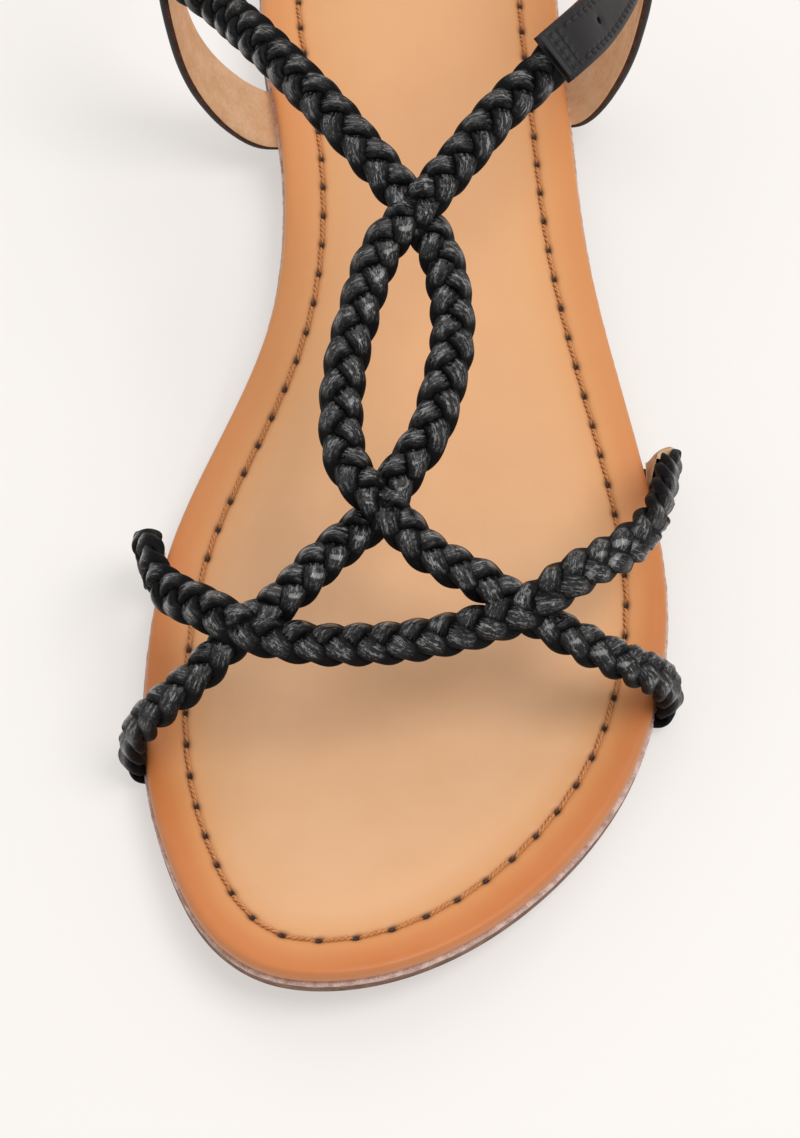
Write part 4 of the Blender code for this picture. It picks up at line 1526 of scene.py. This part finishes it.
@dataclass
class Upper:
    """The three braids, their sewn crossings and the vamp braid's lining."""

    last: Last
    finish: Finish
    band: Band
    tail: float = 8 * MM
    tail_thickness: float = 1.3 * MM
    sink: float = 0.2 * MM
    joined_thickness: float = 1.8 * MM
    medial_joined: float = 15.5 * MM
    lateral_joined: float = 4 * MM
    press: float = 14 * MM
    pinch_lift: float = 0.55
    vamp_tilt: float = 0.55
    # The vamp braid's face leans from this turn on, over a range (degrees)
    lean_start: float = 42
    lean_range: float = 22
    lining_width: float = 9.0 * MM
    lining_thickness: float = 0.8 * MM
    medial_lining: float = 26 * MM
    lateral_lining: float = 30 * MM

    # Section of the lining: across (share of the half width), out (share of the thickness)
    lining_section = ((-1, 0.4), (-0.5, 0.5), (0, 0.5), (0.5, 0.5), (1, 0.4), (1, -0.4),
                      (0.5, -0.5), (0, -0.5), (-0.5, -0.5), (-1, -0.4))

    def _tail(self, along: float, side: float) -> tuple[list[Array], list[Array]]:
        """A strap's end that turns under the footbed.

        Args:
            along: its station, as a share of the footbed's length.
            side: 1 on the lateral side of the foot, -1 on the medial side.

        Returns:
            Points and facings from the rim inwards.
        """
        last = self.last
        distance = along * last.length
        edge = last.rim(distance, Side(int(side)))
        stand = last.braid_thickness / 2 + last.gap
        seam = float(last.seam(distance))
        buried = seam - self.tail_thickness / 2
        down = last.under_seam(distance)
        rows = (
            (stand, float(last.bed(distance)) - last.insole * 0.55, 0.9, 0.3),
            (stand * 0.6, seam - self.sink, 0.5, 0.85),
            (-0.25 * self.tail, buried, 0.0, 1.0),
            (-0.6 * self.tail, buried, 0.0, 1.0),
            (-self.tail, buried, 0.0, 1.0),
        )
        points = [last.place(distance, edge + side * off, height) for off, height, _, _ in rows]
        facings = [np.array([side * out, 0.0, 0.0]) + down * droop for _, _, out, droop in rows]
        return points, facings

    def _route(self, rows: Sequence[tuple[float, float, float]],
               start: tuple[list[Array], list[Array]] | None = None, tilt: float = 0.0) -> Route:
        """Route of a braid over the form.

        Args:
            rows: along, turn and lift of its places.
            start: points and facings before them.
            tilt: how far its face leans to the floor at the sides.

        Returns:
            The route with its tails.
        """
        pairs = [self.last.form_at(along, turn, lift * self.last.braid_thickness)
                 for along, turn, lift in rows]
        leans = [tilt * float(smooth_step((abs(turn) - self.lean_start) / self.lean_range))
                 for _, turn, _ in rows]
        points = [p for p, _ in pairs]
        facings = [n - np.array([0.0, 0.0, lean]) for (_, n), lean in zip(pairs, leans)]
        if abs(rows[0][1]) == 90:
            more, faces = self._tail(rows[0][0], math.copysign(1, rows[0][1]))
            points, facings = more[::-1] + points, faces[::-1] + facings
        if start:
            points, facings = start[0] + points, start[1] + facings
        more, faces = self._tail(rows[-1][0], math.copysign(1, rows[-1][1]))
        return Route(points + more, facings + faces)

    def build(self) -> None:
        """Build the braids and the lining."""
        points, facings = self.band.join(Side.MEDIAL, self.joined_thickness, MEDIAL_FREE_ROW, JOIN_ROWS)
        medial = self._route(MEDIAL_BRAID, (points[::-1], facings[::-1]))
        lateral = self._route(LATERAL_BRAID)
        vamp = self._route(VAMP_BRAID, tilt=self.vamp_tilt)
        pinches = []
        for along, turn in CROSSINGS:
            point, normal = self.last.form_at(along, turn, self.pinch_lift * self.last.braid_thickness)
            pinches.append(Pinch(point, normal))
        first = Braid("medial_braid", medial, self.medial_joined, seed=1.0, smooth_ends=(30 * MM, 14 * MM))
        second = Braid("lateral_braid", lateral, self.lateral_joined, seed=2.0, smooth_ends=(8 * MM, 16 * MM))
        third = Braid("vamp_braid", vamp, start_tail=True, seed=3.0, smooth_ends=(24 * MM, 26 * MM),
                      press=self.press)
        first.build(self.finish, pinches, ["braided_upper"])
        second.build(self.finish, pinches)
        third.build(self.finish, pinches)
        self._lining("vamp_lining_medial", third, self.tail, self.medial_lining)
        self._lining("vamp_lining_lateral", third, vamp.length - self.lateral_lining, vamp.length - self.tail)

    def _lining(self, name: str, braid: Braid, start: float, stop: float) -> None:
        """Add a lining strip on the foot's side of a braid.

        Args:
            name: name of the piece.
            braid: the braid that it lines.
            start: distance along the braid where it begins.
            stop: distance along the braid where it ends.
        """
        route = braid.route
        distances = np.arange(start, stop, 0.6 * MM)
        share = (distances - start) / (stop - start)
        taper = 1 - 0.25 * (share if start < route.length / 2 else 1 - share)
        half = self.lining_width / 2 * taper
        shape = np.array(self.lining_section)
        end = np.minimum(distances, route.length - distances)
        press = smooth_step(1 - (end - self.tail - self.press) / (0.55 * self.tail))
        stand = self.last.braid_thickness / 2 * (1 - 0.42 * press) + 0.1 * self.lining_thickness
        out = shape[:, 1] * self.lining_thickness + (braid.set_out(distances) - stand)[:, None]
        draft = Draft()
        draft.grid(route.spots(distances, half[:, None] * shape[:, 0], out), wrap_columns=True)
        draft.finish(name, [self.finish.pale_lining], "strap_leather")


def look_at(item: bpy.types.Object, place: Sequence[float], target: Sequence[float]) -> None:
    """Put an object into the scene, turned towards a target.

    Args:
        item: lamp or camera.
        place: where it goes.
        target: what it looks at.
    """
    item.location = place
    item.rotation_euler = (Vector(target) - Vector(place)).to_track_quat("-Z", "Y").to_euler()
    bpy.context.scene.collection.objects.link(item)


@dataclass(frozen=True)
class Lamp:
    """Square soft lamp aimed at the sandal."""

    name: str
    place: tuple[float, float, float]
    size: float
    power: float
    colour: Colour
    target: tuple[float, float, float] = (0.0, -0.1, 0.02)

    def build(self) -> None:
        """Hang the lamp."""
        light = bpy.data.lights.new(self.name, "AREA")
        light.energy, light.size, light.color = self.power, self.size, self.colour
        look_at(bpy.data.objects.new(self.name, light), self.place, self.target)


@dataclass
class Studio:
    """Pale floor, soft light and the camera."""

    floor: Colour = (0.450, 0.438, 0.425)
    glow: Colour = (1.000, 0.965, 0.937)
    glow_strength: float = 0.49
    reach: float = 3.0
    sky: Colour = (1.0, 0.985, 0.965)
    sky_strength: float = 0.54
    camera_place: tuple[float, float, float] = (-1.4 * MM, -435.6 * MM, 527.6 * MM)
    camera_target: tuple[float, float, float] = (-1.4 * MM, -135.6 * MM, 8 * MM)
    lens: float = 110.7
    lamps: tuple[Lamp, ...] = (
        Lamp("key", (0.46, -0.26, 1.05), 0.60, 6.2, (1.0, 0.985, 0.965)),
        Lamp("fill", (-0.85, -0.20, 0.75), 0.90, 0.8, (0.97, 0.985, 1.0)),
        Lamp("back", (-0.10, 0.62, 1.00), 1.00, 2.6, (1.0, 0.99, 0.98)),
    )

    def build(self) -> None:
        """Set up floor, lights and camera."""
        self._floor()
        for lamp in self.lamps:
            lamp.build()
        world = bpy.data.worlds.new("studio")
        world.use_nodes = True
        backdrop = world.node_tree.nodes["Background"]
        backdrop.inputs["Color"].default_value = (*self.sky, 1.0)
        backdrop.inputs["Strength"].default_value = self.sky_strength
        bpy.context.scene.world = world
        bpy.context.scene.view_settings.view_transform = "Standard"
        camera = bpy.data.cameras.new("camera")
        camera.lens = self.lens
        camera.sensor_width = 36.0
        camera.clip_start = 0.01
        item = bpy.data.objects.new("camera", camera)
        look_at(item, self.camera_place, self.camera_target)
        bpy.context.scene.camera = item

    def _floor(self) -> None:
        """Plain pale floor."""
        graph = Graph("studio_floor")
        graph.dress(Base_Color=self.floor, Roughness=0.9, Specular_IOR_Level=0.1,
                    Emission_Color=self.glow, Emission_Strength=self.glow_strength)
        mesh = bpy.data.meshes.new("studio_floor")
        far = self.reach
        mesh.from_pydata([(-far, -far, 0), (far, -far, 0), (far, far, 0), (-far, far, 0)],
                         [], [(0, 1, 2, 3)])
        mesh.materials.append(graph.material)
        item = bpy.data.objects.new("studio_floor", mesh)
        bpy.context.scene.collection.objects.link(item)


def main() -> None:
    """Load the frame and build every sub-assembly."""
    logging.basicConfig(level=logging.INFO, format="%(message)s")
    for item in list(bpy.data.objects):
        bpy.data.objects.remove(item)
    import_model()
    last, finish = Last(), Finish()
    band = Band(last, finish)
    for builder in (Studio(), Sole(last, finish), Footbed(last, finish), band,
                    Tab(last, finish, band), Upper(last, finish, band)):
        builder.build()


if __name__ == "__main__":
    main()
